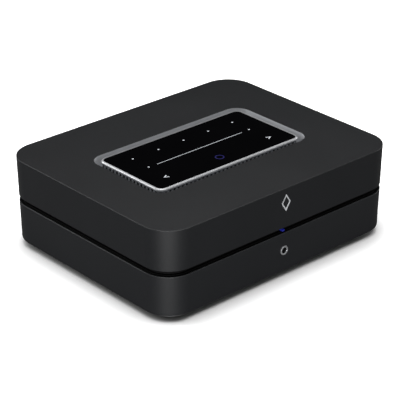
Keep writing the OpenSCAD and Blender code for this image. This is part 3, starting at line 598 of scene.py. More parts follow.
outline = {"width": case["width"], "depth": case["depth"], "radius": case["cornerRadius"],
           "steps": case["cornerSteps"]}
surroundLow, surroundHigh = boxOf("panel_surround")
trim = {"thickness": 0.5, "flange": 5, "flangeThickness": 0.6, "radius": 11.3, "steps": 20, "below": 0.3,
        "foot": 60.8}
recess = {"width": surroundHigh.x - surroundLow.x - 2 * trim["flange"],
          "depth": surroundHigh.y - surroundLow.y - 2 * trim["flange"],
          "radius": trim["radius"], "steps": trim["steps"]}


# upper shell: swept wall, flat ring round the opening, lip of the opening, ring underneath

shell = {"edge": 0.45, "shelf": 2.0, "rimRound": 0.25, "openingGap": 0.55, "lip": 0.08, "lipRound": 0.12,
         "lipHeight": 0.28, "field": 1.4, "notch": (85, 38.4, 64.0)}


def backNotch(half, low, high):
    # the opening in a shell's back wall for the two panels
    return blockPiece("notch", (-half, case["back"] - 11, low), (half, case["back"] + 2, high))


def upperShell():
    top = case["top"]
    under = top - case["plate"]
    rim = case["seamHigh"]
    low = leanAt(rim)
    wall = [(case["wall"] + leanAt(under), under), (case["wall"] + low, rim)]
    wall += [(low + shell["rimRound"] - x, rim + shell["rimRound"] - y) for x, y in
             arcPoints((0, 0), shell["rimRound"], 90, 0, 4)]
    shoulder = top - shell["edge"]
    wall += [(leanAt(shoulder) + shell["edge"] - x, shoulder + y) for x, y in
             arcPoints((0, 0), shell["edge"], 0, 88, 9)]
    wall += [(leanAt(shoulder) + shell["edge"], top), (shell["shelf"], top)]
    gap, lip = shell["openingGap"], shell["lip"]
    edge = [(-shell["field"], top), (-lip - shell["lipRound"], top)]
    edge += [(-lip - shell["lipRound"] + x, top - shell["lipRound"] + y) for x, y in
             arcPoints((0, 0), shell["lipRound"], 75, 0, 3)]
    edge += [(-lip, top - shell["lipHeight"]), (-gap, top - shell["lipHeight"]), (-gap, under)]
    parts = [
        sweepPiece("wall", wall, outline, "shell_upper", closed=False),
        fieldPiece("plate", outline, shell["shelf"], recess, -shell["field"], top, "shell_upper"),
        sweepPiece("edge", edge, recess, "shell_upper", closed=False),
        fieldPiece("ceiling", outline, case["wall"] + leanAt(under), recess, -gap, under, "shell_upper"),
    ]
    whole = joinPieces("topShell", parts)
    fixNormals(whole)
    return cutPiece(whole, backNotch(*shell["notch"]))


settlePiece(upperShell(), "shell_upper", ["top_cover"], angle=30)
print("upper shell made")


# lower shell: one closed profile with an eased rim that falls inwards and a round at the foot

lower = {"edge": 2.5, "rimBevel": 0.6, "rimRound": 0.5, "rimRise": 0.22, "rimFall": 0.5, "ringBore": 3.0,
         "headphoneHeight": 21.3, "flange": 14, "flangeLow": 6, "flangeHigh": 8.5, "plateSeat": 6,
         "notch": (85, 10.0, 38.0)}
headphoneSpot = (0, case["front"] + leanAt(lower["headphoneHeight"]), lower["headphoneHeight"])


def lowerShell():
    base = case["base"]
    rim = case["seamLow"]
    knee = base + lower["edge"]
    profile = [(leanAt(knee) + lower["edge"] - x, knee - y) for x, y in
               arcPoints((0, 0), lower["edge"], 90, 0, 8)]
    chamfer = rim - lower["rimBevel"]
    soft = lower["rimRound"]
    profile += [(leanAt(chamfer) + soft - x, chamfer + lower["rimRise"] - soft + y) for x, y in
                arcPoints((0, 0), soft, 0, 90, 5)]
    flangeLow, flangeHigh = lower["flangeLow"], lower["flangeHigh"]
    profile += [(leanAt(rim) + case["wall"], chamfer - lower["rimFall"]),
                (leanAt(flangeHigh) + case["wall"], flangeHigh),
                (leanAt(flangeHigh) + lower["flange"], flangeHigh),
                (leanAt(flangeLow) + lower["flange"], flangeLow),
                (leanAt(flangeLow) + lower["plateSeat"], flangeLow), (leanAt(4) + lower["plateSeat"], base)]
    whole = sweepPiece("lowerShell", profile, outline, "shell_lower")
    fixNormals(whole)
    bore = lathePiece("bore", [(0, -3), (lower["ringBore"], -3), (lower["ringBore"], 5), (0, 5)],
                      headphoneSpot, axis="y", closed=False)
    fixNormals(bore)
    return cutPiece(whole, backNotch(*lower["notch"]), bore)


settlePiece(lowerShell(), "shell_lower", ["lower_casing"], angle=30)
print("lower shell made")


# the recess: satin wall, vent grille, bright bezel

def panelSurround():
    top = case["top"]
    thick = trim["thickness"]
    under = top - case["plate"]
    profile = [(0, trim["foot"]), (0, top - trim["below"]), (-thick, top - trim["below"]), (-thick, under),
               (-trim["flange"], under), (-trim["flange"], under - trim["flangeThickness"]),
               (-thick, under - trim["flangeThickness"]), (-thick, trim["foot"])]
    return sweepPiece("panelSurround", profile, recess, "recess_satin")


settlePiece(panelSurround(), "recess_satin", ["panel_surround"])

bezelLow, bezelHigh = boxOf("panel_bezel")
bezel = {"width": bezelHigh.x - bezelLow.x, "depth": bezelHigh.y - bezelLow.y, "radius": 6, "steps": 20}
bezelCut = {"rim": 1.6, "bevel": 0.8, "width": 1.4, "step": 1.65, "ledge": 4.4, "foot": 2.4}


def panelBezel():
    top = bezelHigh.z
    foot = top - bezelCut["foot"]
    seat = top - bezelCut["width"]
    profile = [(0, top - bezelCut["rim"]), (0, top - bezelCut["bevel"])]
    profile += [(0.1, top - bezelCut["bevel"] + 0.18), (bezelCut["bevel"] - 0.14, top - 0.08)]
    profile += [(bezelCut["bevel"], top), (bezelCut["width"], top), (bezelCut["width"], seat),
                (bezelCut["ledge"], seat), (bezelCut["ledge"], foot), (bezelCut["step"], foot),
                (bezelCut["step"], top - bezelCut["rim"])]
    return sweepPiece("panelBezel", profile, bezel, "bezel_bright")


settlePiece(panelBezel(), "bezel_bright", ["panel_bezel"], angle=20)

vent = {"slotCount": 102, "slotWidth": 2.0, "slotHeight": 5.0, "slotMiddle": 64.8, "holeCount": 108,
        "holeRadius": 1.25, "holeLine": 8.25, "floor": 60.0, "thickness": 0.8, "wallTop": 68.36,
        "wallInset": 0.8, "wallRadius": 5.2, "steps": 12}


def ventGrille():
    wallSize = {"width": bezel["width"] - 2 * vent["wallInset"],
                "depth": bezel["depth"] - 2 * vent["wallInset"],
                "radius": vent["wallRadius"], "steps": vent["steps"]}
    low, high = vent["floor"], vent["floor"] + vent["thickness"]
    reach = trim["flange"]
    profile = [(-(recess["width"] - wallSize["width"]) / 2 - reach, high),
               (-(recess["width"] - wallSize["width"]) / 2 - reach, low),
               (vent["thickness"], low), (vent["thickness"], vent["wallTop"]),
               (0, vent["wallTop"]), (0, high)]
    pressing = sweepPiece("ventGrille", profile, wallSize, "grille_dark")
    fixNormals(pressing)
    slot = blockPiece("slots", (-vent["slotWidth"] / 2, -1.5, vent["slotMiddle"] - vent["slotHeight"] / 2),
                      (vent["slotWidth"] / 2, 1.5, vent["slotMiddle"] + vent["slotHeight"] / 2))
    fixNormals(slot)
    half = vent["thickness"] / 2
    slotPath = outlineInputs(wallSize["width"] - 2 * half, wallSize["depth"] - 2 * half,
                             wallSize["radius"] - half, vent["steps"])
    runTree(slot, pathTree, {**slotPath, "Count": vent["slotCount"], "Material": surface["grille_dark"]})
    hole = lathePiece("holes", [(0, low - 1), (vent["holeRadius"], low - 1),
                                (vent["holeRadius"], high + 0.6), (0, high + 0.6)], (0, 0, 0),
                      steps=14, closed=False)
    fixNormals(hole)
    holePath = outlineInputs((wallSize["width"] + recess["width"]) / 2,
                             (wallSize["depth"] + recess["depth"]) / 2, vent["holeLine"], vent["steps"])
    runTree(hole, pathTree, {**holePath, "Count": vent["holeCount"], "Material": surface["grille_dark"]})
    return cutPiece(pressing, slot, hole)


settlePiece(ventGrille(), "grille_dark", ["vent_grille"])
print("panel recess made")


# touch panel: glass plate with its marks inlaid flush

panel = {"top": 69.8, "glassLow": 68.6, "glassGap": 0.05, "glassRadius": 4.6, "edge": 0.12, "proud": 0.015,
         "inlay": 0.3, "dot": 0.7, "presetGap": 24, "presetLine": 18.7, "sliderLine": 0.6,
         "sliderLength": 81.4, "sliderWidth": 0.45, "endDots": (48.3, 0.9), "arrowAt": (49.5, -19),
         "arrowSize": 2.1, "arrowArm": 0.75, "playAt": -20, "playOuter": 3.45, "playInner": 2.6}


def slabPiece(name, outlinePoints, low, high):
    # a flat shape with straight sides; the outline runs anticlockwise
    count = len(outlinePoints)
    points = [(x, y, z) for z in (low, high) for x, y in outlinePoints]
    faces = [tuple(range(count, 2 * count)), tuple(reversed(range(count)))]
    faces += [(i, (i + 1) % count, count + (i + 1) % count, count + i) for i in range(count)]
    return addPiece(name, points, faces)


def roundedOutline(width, depth, radius, steps):
    points = []
    for cornerX, cornerY, start in ((1, 1, 0), (-1, 1, 90), (-1, -1, 180), (1, -1, 270)):
        centre = (cornerX * (width / 2 - radius), case["middle"] + cornerY * (depth / 2 - radius))
        points += arcPoints(centre, radius, start, start + 90, steps)
    return points


def touchGlass():
    inset = bezelCut["width"] + panel["glassGap"]
    plate = roundedOutline(bezel["width"] - 2 * inset, bezel["depth"] - 2 * inset, panel["glassRadius"], 10)
    glass = slabPiece("touchGlass", plate, panel["glassLow"], panel["top"])
    return bevelPiece(glass, panel["edge"], 2)


def panelMarks():
    low, high = panel["top"] - panel["inlay"], panel["top"] + panel["proud"]
    middle = case["middle"]
    marks = []
    dots = [(i * panel["presetGap"], panel["presetLine"]) for i in (-2, -1, 0, 1, 2)]
    dots += [(side * panel["endDots"][0], panel["endDots"][1]) for side in (-1, 1)]
    for x, y in dots:
        marks.append(slabPiece("dot", arcPoints((x, middle + y), panel["dot"], 0, 345, 23), low, high))
    half, thin = panel["sliderLength"] / 2, panel["sliderWidth"] / 2
    line = middle + panel["sliderLine"]
    marks.append(slabPiece("slider", [(-half, line - thin), (half, line - thin), (half, line + thin),
                                      (-half, line + thin)], low, high))
    size, arm = panel["arrowSize"], panel["arrowArm"]
    chevron = [(size, 0), (-size * 0.8, size), (-size * 0.8, size - arm * 1.4), (size - arm * 2, 0),
               (-size * 0.8, arm * 1.4 - size), (-size * 0.8, -size)]
    for side in (-1, 1):
        shape = [(side * (panel["arrowAt"][0] + x), middle + panel["arrowAt"][1] + y) for x, y in chevron]
        marks.append(slabPiece("arrow", shape, low, high))
    return joinPieces("panelMarks", marks)


def playRing():
    low, high = panel["top"] - panel["inlay"], panel["top"] + panel["proud"]
    profile = [(panel["playInner"], low), (panel["playInner"], high), (panel["playOuter"], high),
               (panel["playOuter"], low)]
    return lathePiece("playRing", profile, (0, case["middle"] + panel["playAt"], 0), steps=56)


settlePiece(touchGlass(), "glass_black", ["touch_glass"])
settlePiece(panelMarks(), "icon_white", ["panel_icons"])
settlePiece(playRing(), "play_blue", ["play_ring"])
print("touch panel made")


# front: lozenge mark, status light, headphone ring and its spring contacts

frontRing = {"radius": 3.4, "proud": 0.5, "sleeve": 2.95, "bore": 2.3, "mouth": 2.5, "depth": 2.95,
             "edge": 0.2, "nose": 1.8, "noseFront": 0.1, "contactRadius": 1.72,
             "contactDepths": (4.2, 7.4, 10.6)}


def headphoneRing():
    ring = frontRing
    profile = [(ring["bore"], ring["depth"]), (ring["bore"], 0.1), (ring["mouth"] - 0.12, -0.4)]
    profile += [(ring["mouth"], -ring["proud"]), (ring["radius"] - ring["edge"], -ring["proud"])]
    profile += [(ring["radius"] - ring["edge"] + x, -ring["proud"] + ring["edge"] - y) for x, y in
                arcPoints((0, 0), ring["edge"], 75, 0, 3)]
    profile += [(ring["radius"], 0.08), (ring["sleeve"], 0.08), (ring["sleeve"], ring["depth"])]
    return lathePiece("headphoneRing", profile, headphoneSpot, axis="y", steps=64)


def headphoneNose():
    inner, outer, front = frontRing["nose"], frontRing["bore"] - 0.02, frontRing["noseFront"]
    profile = [(inner, 3.1), (inner, 0.4), (2.0, front), (outer, front), (outer, 3.1)]
    return lathePiece("headphoneNose", profile, headphoneSpot, axis="y", steps=48)


settlePiece(headphoneRing(), "ring_silver", ["headphone_ring"])
settlePiece(headphoneNose(), "groove_black")
settlePiece(softCopy("frontBadge", "front_badge", 0.14), "badge_silver", ["front_badge"])

# the lit end stands a little inside the mouth of the groove
pipe = {"half": 1.05, "inset": 1.2, "low": 35.75, "high": 37.2, "round": 0.3}
pipeNose = case["front"] + leanAt(case["seamLow"]) + pipe["inset"]
pipeTail = boxOf("status_window")[1].y
statusLight = blockPiece("statusLight", (-pipe["half"], pipeNose, pipe["low"]),
                         (pipe["half"], pipeTail, pipe["high"]), pipe["round"], 3)
settlePiece(statusLight, "status_blue", ["status_window"])


def headphoneSprings():
    # sleeve, ring and tip contacts look into the bore as three thin hoops
    radius = frontRing["contactRadius"]
    hoops = []
    for depth in frontRing["contactDepths"]:
        profile = [(radius, depth), (radius - 0.12, depth + 0.35), (radius, depth + 0.7),
                   (radius + 0.04, depth + 0.35)]
        hoops.append(lathePiece("hoop", profile, headphoneSpot, axis="y", steps=28))
    return joinPieces("headphoneSprings", hoops)


settlePiece(headphoneSprings(), "pin_nickel")


# feet: turned rubber with a sunk middle, a seat ring and a stem into the base plate

foot = {"radius": 9, "toe": 7.8, "height": 3, "top": 4, "sink": 0.58, "sinkRadius": 5.5, "stem": 2.95,
        "stemTop": 6.98, "round": 0.5}


def rubberFoot(name, node):
    low, high = boxOf(node)
    place = ((low.x + high.x) / 2, (low.y + high.y) / 2, 0)
    profile = [(0, foot["sink"]), (foot["sinkRadius"] - 0.4, foot["sink"]), (foot["sinkRadius"] - 0.1, 0.42),
               (foot["sinkRadius"], 0.12), (foot["sinkRadius"] + 0.25, 0), (foot["toe"] - 0.5, 0)]
    profile += [(foot["toe"] - foot["round"] + x, foot["round"] - y) for x, y in
                arcPoints((0, 0), foot["round"], 75, 15, 4)]
    profile += [(foot["radius"] - 0.45, 1.9), (foot["radius"] - 0.62, 2.1), (foot["radius"] - 0.35, 2.35),
                (foot["radius"], foot["height"]), (foot["radius"], foot["top"] - 0.2),
                (foot["radius"] - 0.2, foot["top"]), (foot["stem"], foot["top"]),
                (foot["stem"], foot["stemTop"] - 0.5), (foot["stem"] - 0.5, foot["stemTop"]),
                (0, foot["stemTop"])]
    return lathePiece(name, profile, place, closed=False, steps=56)


for name, node in {"footFrontLeft": "foot_front_left", "footFrontRight": "foot_front_right",
                   "footRearLeft": "foot_rear_left", "footRearRight": "foot_rear_right"}.items():
    settlePiece(rubberFoot(name, node), "foot_rubber", [node])
print("front and feet made")


# screws, with a cross recess, set at the places that the solids have

screw = {"headRadius": 2.7, "headHeight": 0.95, "dome": 0.3, "slot": 0.62, "slotLength": 3.0,
         "slotDepth": 0.7, "rearHeights": (14.5, 57), "rearAcross": (-79, -20, 79), "rearFace": 79.8,
         "rearShank": 1.45, "rearTail": -7.4, "caseRadius": 2.9, "caseHead": 1.1, "caseShank": 1.42}


def crossHead(name, radius, head, dome, shank, tail, axis):
    # head in front of the origin along the axis, shank behind it
    profile = [(0, head), (radius * 0.5, head - dome * 0.15), (radius * 0.8, head - dome * 0.5),
               (radius - 0.1, head - dome), (radius, head - dome - 0.15), (radius, 0), (shank, 0),
               (shank, tail + 0.5), (shank - 0.5, tail), (0, tail)]
    item = lathePiece(name, profile, (0, 0, 0), axis=axis, closed=False, steps=36)
    fixNormals(item)
    half, thick = screw["slotLength"] / 2, screw["slot"] / 2
    outer, deep = sorted((head + math.copysign(1, head), head - math.copysign(screw["slotDepth"], head)))
    cutters = []
    for width, height in ((half, thick), (thick, half)):
        low = {"y": (-width, outer, -height), "z": (-width, -height, outer)}[axis]
        high = {"y": (width, deep, height), "z": (width, height, deep)}[axis]
        cutters.append(blockPiece("slot", low, high))
    fixNormals(*cutters)
    return cutPiece(item, *cutters)


def screwsAt(name, item, spots, slot, nodes):
    piece = addPiece(name, spots)
    runTree(piece, spotTree, {"Item": item, "Material": surface[slot]})
    dropPiece(item)
    return settlePiece(piece, slot, nodes)


rearSpots = [(x, screw["rearFace"], z) for z in screw["rearHeights"] for x in screw["rearAcross"]]
rearSpots.remove((-20, screw["rearFace"], 57))  # five screws in all, none at the top middle
rearItem = crossHead("screwItem", screw["headRadius"], screw["headHeight"], screw["dome"], screw["rearShank"],
                     screw["rearTail"], "y")
screwsAt("rearScrews", rearItem, rearSpots, "screw_black", ["rear_screws"])
caseLow, caseHigh = boxOf("case_screws")
across = caseHigh.x - screw["caseRadius"]
along = (caseLow.y + screw["caseRadius"], caseHigh.y - screw["caseRadius"])
caseSpots = [(x, y, caseLow.z + screw["caseHead"]) for x in (-across, across) for y in along]
caseItem = crossHead("screwItem", screw["caseRadius"], -screw["caseHead"], -screw["dome"], screw["caseShank"],
                     caseHigh.z - caseLow.z - screw["caseHead"], "z")
screwsAt("caseScrews", caseItem, caseSpots, "screw_steel", ["case_screws"])
print("screws made")


# back: panels, sockets with their contacts, printed guide marks

settleCopies({
    "socketPanel": ("rear_panel", "rear_black", 0.3, 2),
    "inletPlate": ("inlet_plate", "rear_black", 0.3, 2),
    "mainsInlet": ("mains_inlet", "inlet_black", 0.3, 3),
    "networkSocket": ("network_socket", "socket_nickel", 0.22, 2),
    "usbSocket": ("usb_socket", "socket_nickel", 0.12, 2),
    "avSocket": ("av_socket", "socket_nickel", 0.12, 2),
    "serviceSocket": ("service_socket", "socket_nickel", 0.12, 2),
    "socketTongues": ("socket_tongues", "tongue_black", 0.1, 2),
    "lineInJack": ("line_in_jack", "jack_black", 0.22, 2),
    "infraredJack": ("infrared_jack", "jack_black", 0.22, 2),
})

back = {"face": 79.8, "boardTop": 44.6, "network": -50, "usb": -29, "av": -9, "service": 8, "phono": 36,
        "powerHeight": 25, "jackHeight": 49.6}


def settleRow(piece, count, start, step, slot):
    runTree(piece, rowTree, {"Count": count, "Start": [v / 1000 for v in start],
                             "Step": (step / 1000, 0.0, 0.0), "Material": surface[slot]})
    return settlePiece(piece, slot)


def contactRow(name, count, start, step, size):
    # flat contacts of a socket, side by side
    strip = blockPiece(name, [-edge / 2 for edge in size], [edge / 2 for edge in size])
    return settleRow(strip, count, start, step, "phono_gold")


# name: (socket, count, first contact's shift, inset and rise, step, size)
contacts = {
    "networkContacts": ("network", 8, (-3.57, -7.5, 10.3), 1.02, (0.5, 9, 0.3)),
    "usbContacts": ("usb", 4, (-3.9, -6.2, 2.92), 2.6, (1.5, 7.5, 0.16)),
    "avContacts": ("av", 10, (-4.5, -5.5, 2.96), 1.0, (0.5, 6.5, 0.12)),
    "serviceContacts": ("service", 5, (-1.6, -3.2, 1.47), 0.8, (0.4, 2.6, 0.1)),
}
row = back["boardTop"]
for name, (socket, count, (shift, inset, lift), step, size) in contacts.items():
    contactRow(name, count, (back[socket] + shift, back["face"] + inset, row + lift), step, size)


# lining of the network mouth and the two lamp windows above it: half width, inset range, rise range
network = {"lining": (5.85, (-12.9, -11.9), (3.7, 10.8)), "lamp": (0.75, (0.2, 0.42), (10.9, 12.7)),
           "lampShift": 6.9, "round": 0.1}


def networkBlock(name, key, shift, slot):
    half, (deep, front), (low, high) = network[key]
    middle, face = back["network"] + shift, back["face"]
    block = blockPiece(name, (middle - half, face + deep, row + low),
                       (middle + half, face + front, row + high), network["round"])
    settlePiece(block, slot)


networkBlock("networkInsert", "lining", 0, "tongue_black")
networkBlock("linkLampLeft", "lamp", -network["lampShift"], "guide_clear")
networkBlock("linkLampRight", "lamp", network["lampShift"], "guide_clear")

phono = {"barrel": 4.15, "reach": 9, "flange": 5.4, "flangeReach": 1, "groove": (2.8, 3.6), "edge": 0.15,
         "pinBore": 1.65, "core": 8, "body": 5, "bodyLow": -13, "bodyHigh": -2.4, "bodyRise": 10}
phonoSpot = (back["phono"], back["face"], back["jackHeight"])


def phonoSocket():
    edge, reach, barrel, flange = phono["edge"], phono["reach"], phono["barrel"], phono["flange"]
    inner, outer = phono["groove"]
    profile = [(inner, phono["bodyHigh"]), (inner, 1.0), (outer, 2.0), (outer, reach - edge),
               (outer + edge, reach), (barrel - edge, reach), (barrel, reach - edge),
               (barrel, phono["flangeReach"]), (flange - 0.2, phono["flangeReach"]), (flange, 0.8),
               (flange, 0), (barrel, 0), (barrel, phono["bodyHigh"])]
    return lathePiece("phonoSocket", profile, phonoSpot, axis="y", steps=60)


def phonoInsulator():
    inner = phono["groove"][0] - 0.02
    bore, reach = phono["pinBore"], phono["core"]
    profile = [(bore, -reach), (bore, reach - 0.3), (bore + 0.3, reach), (inner - 0.2, reach),
               (inner, reach - 0.2), (inner, -reach)]
    core = lathePiece("core", profile, phonoSpot, axis="y", steps=40)
    middle, face = back["phono"], back["face"]
    housing = blockPiece("housing", (middle - phono["body"], face + phono["bodyLow"], row),
                         (middle + phono["body"], face + phono["bodyHigh"], row + phono["bodyRise"]), 0.3)
    return joinPieces("phonoInsulator", [core, housing])


settlePiece(phonoSocket(), "phono_gold", ["phono_socket"])
settlePiece(phonoInsulator(), "jack_black")
spring = lathePiece("phonoContact", [(1.62, -7.5), (1.62, 6.8), (1.45, 7.2), (1.4, 6.8), (1.4, -7.5)],
                    phonoSpot, axis="y", steps=30)
settlePiece(spring, "pin_nickel")


# the four speaker terminals
post = {
    "xs": (18, 37.05, 56.1, 75.15), "collar": 6.8, "collarReach": 2, "stem": 3.0, "stemTail": -14.4,
    "reach": 13.0, "bore": 2.0, "hole": 1.2, "holeAt": 3.4, "pitch": 1.0, "threadFrom": 4.9,
    "threadDepth": 0.06, "tag": 1.5, "tagLow": 15.6, "washer": 4.6, "washerLow": 3.4, "washerHigh": 4.8,
    "washerBore": 3.06, "cap": 6.2, "capLow": 4.85, "capHigh": 15.2, "capStep": 1.15, "flutes": 20,
    "flute": 0.6, "fluteLow": 7.2, "mouth": 2.3, "insideHigh": 13.4,
}

# printed lines: a bracket (left, right, height, rise) under each group, signs over the terminals
ink = {"lift": 0.05, "sunk": 0.02, "line": 0.3, "sign": 1.3, "signLine": 0.42, "signHeight": 35.0,
       "signArm": 1.1,
       "brackets": ((-37.2, -21.2, 41.0, 1.6), (-18.2, 0.2, 41.0, 1.6), (3.0, 13.0, 41.0, 1.6),
                    (15.5, 26.5, 41.0, 1.6), (30.0, 42.0, 41.0, 1.6), (45.5, 56.5, 41.0, 1.6),
                    (10.0, 83.0, 15.0, 1.8))}


def printedMarks():
    marks = []

    def line(left, low, right, high):
        marks.append(blockPiece("mark", (left, back["face"] - ink["sunk"], low),
                                (right, back["face"] + ink["lift"], high)))

    thin = ink["line"]
    for left, right, height, rise in ink["brackets"]:
        line(left, height, right, height + thin)
        line(left, height, left + thin, height + rise)
        line(right - thin, height, right, height + rise)
    low = ink["signHeight"]
    high, half = low + ink["signLine"], ink["signLine"] / 2
    for number, x in enumerate(post["xs"]):
        line(x - ink["sign"], low, x + ink["sign"], high)
        if number % 2:
            line(x - half, low - ink["signArm"], x + half, low)
            line(x - half, high, x + half, high + ink["signArm"])
    return joinPieces("printedMarks", marks)


# screen-printed epoxy ink: pale, matte, slightly broken by the paint under it
inkFinish = makeFinish({"title": "screenPrintedInk", "colour": "c9cacb", "shade": "a9aaab", "grain": 0.7,
                        "relief": 0.004, "rough": (0.55, 0.7)})
prints = settlePiece(printedMarks(), "icon_white")
prints.data.materials[0] = inkFinish
print("back panel made")


# speaker terminals: collar, threaded stem, clamp washer and fluted cap


def collarProfile():
    reach, radius, bore = post["collarReach"], post["collar"], post["stem"] + 0.03
    outer = [(bore, 0), (bore, reach - 0.3), (bore + 0.5, reach), (radius - 1.6, reach), (radius - 1.3, 1.75),
             (radius - 0.45, 1.75), (radius - 0.1, 1.6), (radius, 1.3), (radius, 0)]
    inner = [(bore, -5.4), (bore, -2.4), (5.5, -2.4), (5.5, -5.1), (5.2, -5.4)]
    return outer, inner


outer, inner = collarProfile()
collarItem = joinPieces("collarItem", [lathePiece("outer", outer, (0, 0, 0), axis="y", steps=56),
                                       lathePiece("inner", inner, (0, 0, 0), axis="y", steps=56)])
screwsAt("terminalCollars", collarItem, [(x, back["face"], back["powerHeight"]) for x in post["xs"]],
         "collar_black", ["terminal_collars"])


def threadShape(turn, along):
    # one helical groove of the pitch, only where the cap runs
    if not post["threadFrom"] < along < post["reach"] - 0.5:
        return 1
    phase = (along / post["pitch"] - turn / (2 * math.pi)) % 1
    return 1 - post["threadDepth"] * abs(2 * phase - 1)


def threadedStem(name, x):
    place = (x, back["face"], back["powerHeight"])
    reach, radius = post["reach"], post["stem"]
    tail = post["stemTail"]
    profile = [(0, tail), (radius - 0.3, tail), (radius, tail + 0.3), (radius, 0.0), (radius, 4.8)]
    profile += [(radius, post["threadFrom"] + 0.125 * i) for i in range(62)]
    profile += [(radius, reach - 0.3), (radius - 0.3, reach), (post["bore"] + 0.25, reach),
                (post["bore"], reach - 0.3), (post["bore"], 0.9), (0, 0.5)]
    stem = lathePiece(name, profile, place, axis="y", closed=False, steps=32, shape=threadShape)
    fixNormals(stem)
    hole = lathePiece("hole", [(0, -5), (post["hole"], -5), (post["hole"], 5), (0, 5)],
                      (x, place[1] + post["holeAt"], place[2]), closed=False, steps=24)
    fixNormals(hole)
    cutPiece(stem, hole)
    tag = blockPiece("tag", (x - post["tag"], back["face"] - 13.4, post["tagLow"]),
                     (x + post["tag"], back["face"] - 12.4, back["powerHeight"]), 0.15)
    return joinPieces(name, [stem, tag])


def clampWasher(name, x):
    low, high, radius, bore = post["washerLow"], post["washerHigh"], post["washer"], post["washerBore"]
    profile = [(bore, low + 0.15), (bore, high - 0.15), (bore + 0.15, high), (radius - 0.3, high)]
    profile += [(radius, high - 0.3), (radius, low + 0.3), (radius - 0.3, low), (bore + 0.15, low)]
    return lathePiece(name, profile, (x, back["face"], back["powerHeight"]), axis="y", steps=44)


def flutedCap(name, x, slot):
    place = (x, back["face"], back["powerHeight"])
    low, high, radius, bore = post["capLow"], post["capHigh"], post["cap"], post["stem"] + 0.06
    profile = [(bore, low), (radius - 1.2, low), (radius - 1, low + 0.2), (radius - 1, low + post["capStep"]),
               (radius - 0.25, low + post["capStep"]), (radius, low + post["capStep"] + 0.25),
               (radius, high - 1.3)]
    profile += [(radius - 0.9 + x, high - 0.9 + y) for x, y in arcPoints((0, 0), 0.9, 20, 80, 4)]
    profile += [(radius - 1.3, high), (post["mouth"] + 0.5, high), (post["mouth"] + 0.1, high - 0.15),
                (post["mouth"], high - 0.5), (post["mouth"], post["insideHigh"]), (bore, post["insideHigh"])]
    body = lathePiece(name, profile, place, axis="y", steps=60)
    fixNormals(body)
    cutter = lathePiece("flutes", [(0, post["fluteLow"]), (post["flute"] - 0.15, post["fluteLow"] + 0.05),
                                   (post["flute"], post["fluteLow"] + 0.5), (post["flute"], high + 1),
                                   (0, high + 1)], (0, 0, 0), axis="y", closed=False, steps=12)
    fixNormals(cutter)
    runTree(cutter, roundTree, {"Count": post["flutes"], "Radius": (radius + 0.15) / 1000,
                                "Centre": [v / 1000 for v in place], "Material": surface[slot]})
    return cutPiece(body, cutter)


def capBush(name, x):
    # gilt bush pressed into the cap's mouth
    return lathePiece(name, [(2.08, 13.5), (2.08, 14.7), (2.3, 14.95), (2.32, 13.5)],
                      (x, back["face"], back["powerHeight"]), axis="y", steps=36)


for number, x in enumerate(post["xs"], 1):
    tint = "cap_black" if number % 2 else "cap_red"
    clamp, cap = f"clamp_{number}", f"cap_{number}"
    settlePiece(threadedStem(f"threadedStem{number}", x), "stem_gold", [f"post_stem_{number}"], angle=50)
    settlePiece(clampWasher(f"clampWasher{number}", x), "stem_gold", [f"post_washer_{number}"], clamp)
    settlePiece(flutedCap(f"flutedCap{number}", x, tint), tint, [f"post_cap_{number}"], cap)
    settlePiece(capBush(f"capBush{number}", x), "stem_gold", body=cap)
print("terminals made")


# inside: chips with legs, coils, capacitors, transformer and cooler

inside = {"mainTop": 44.6, "lowTop": 15.6, "cover": 0.06, "legWidth": 0.45, "legReach": 0.9, "legPitch": 0.8,
          "legCount": 10}
mainTop, lowTop = inside["mainTop"], inside["lowTop"]
# name: (count, start, step, size) of the packages on the boards
packages = {
    "signalChips": (4, (-60, -6, mainTop), 13, (8, 8, 1.2)),
    "driverChips": (7, (-58, 38, mainTop), 17, (6, 5, 1.6)),
    "gateChips": (4, (24, 28, lowTop), 15, (7, 5, 2)),
}


def chipRow(name, count, start, step, size):
    # plastic packages over the solids of a board, one beside the other
    cover = inside["cover"]
    body = blockPiece(name, (-cover, -cover, 0.25), [edge + cover for edge in size], 0.15)
    return settleRow(body, count, start, step, "tray_black")


def legRow(name, start, side):
    # gull-wing legs along one side of a package
    thin, reach = inside["legWidth"], inside["legReach"] * side
    profile = [(0, 0.5), (0.35 * side, 0.5), (0.55 * side, 0.12), (reach, 0.12), (reach, 0.02),
               (0.45 * side, 0.02), (0.3 * side, 0.38), (0, 0.38)]
    points = [(x, y, z) for x in (0, thin) for y, z in profile]
    corners = len(profile)
    faces = [tuple(range(corners)), tuple(range(corners, 2 * corners))]
    faces += [(i, (i + 1) % corners, corners + (i + 1) % corners, corners + i) for i in range(corners)]
    leg = addPiece(name, points, faces)
    return settleRow(leg, inside["legCount"], start, inside["legPitch"], "pin_nickel")


for name, recipe in packages.items():
    chipRow(name, *recipe)
for number in range(4):
    across = -59.6 + 13 * number
    legRow(f"signalLegsFront{number + 1}", (across, -6.05, mainTop), -1)
    legRow(f"signalLegsBack{number + 1}", (across, 2.05, mainTop), 1)

coil = {"xs": (11, 30.05, 49.1, 68.15), "ys": (44, 39, 44, 39), "radius": 5.4, "wire": 0.62, "turns": 8.0,
        "length": 10.2, "resolution": 28, "core": 4.6}


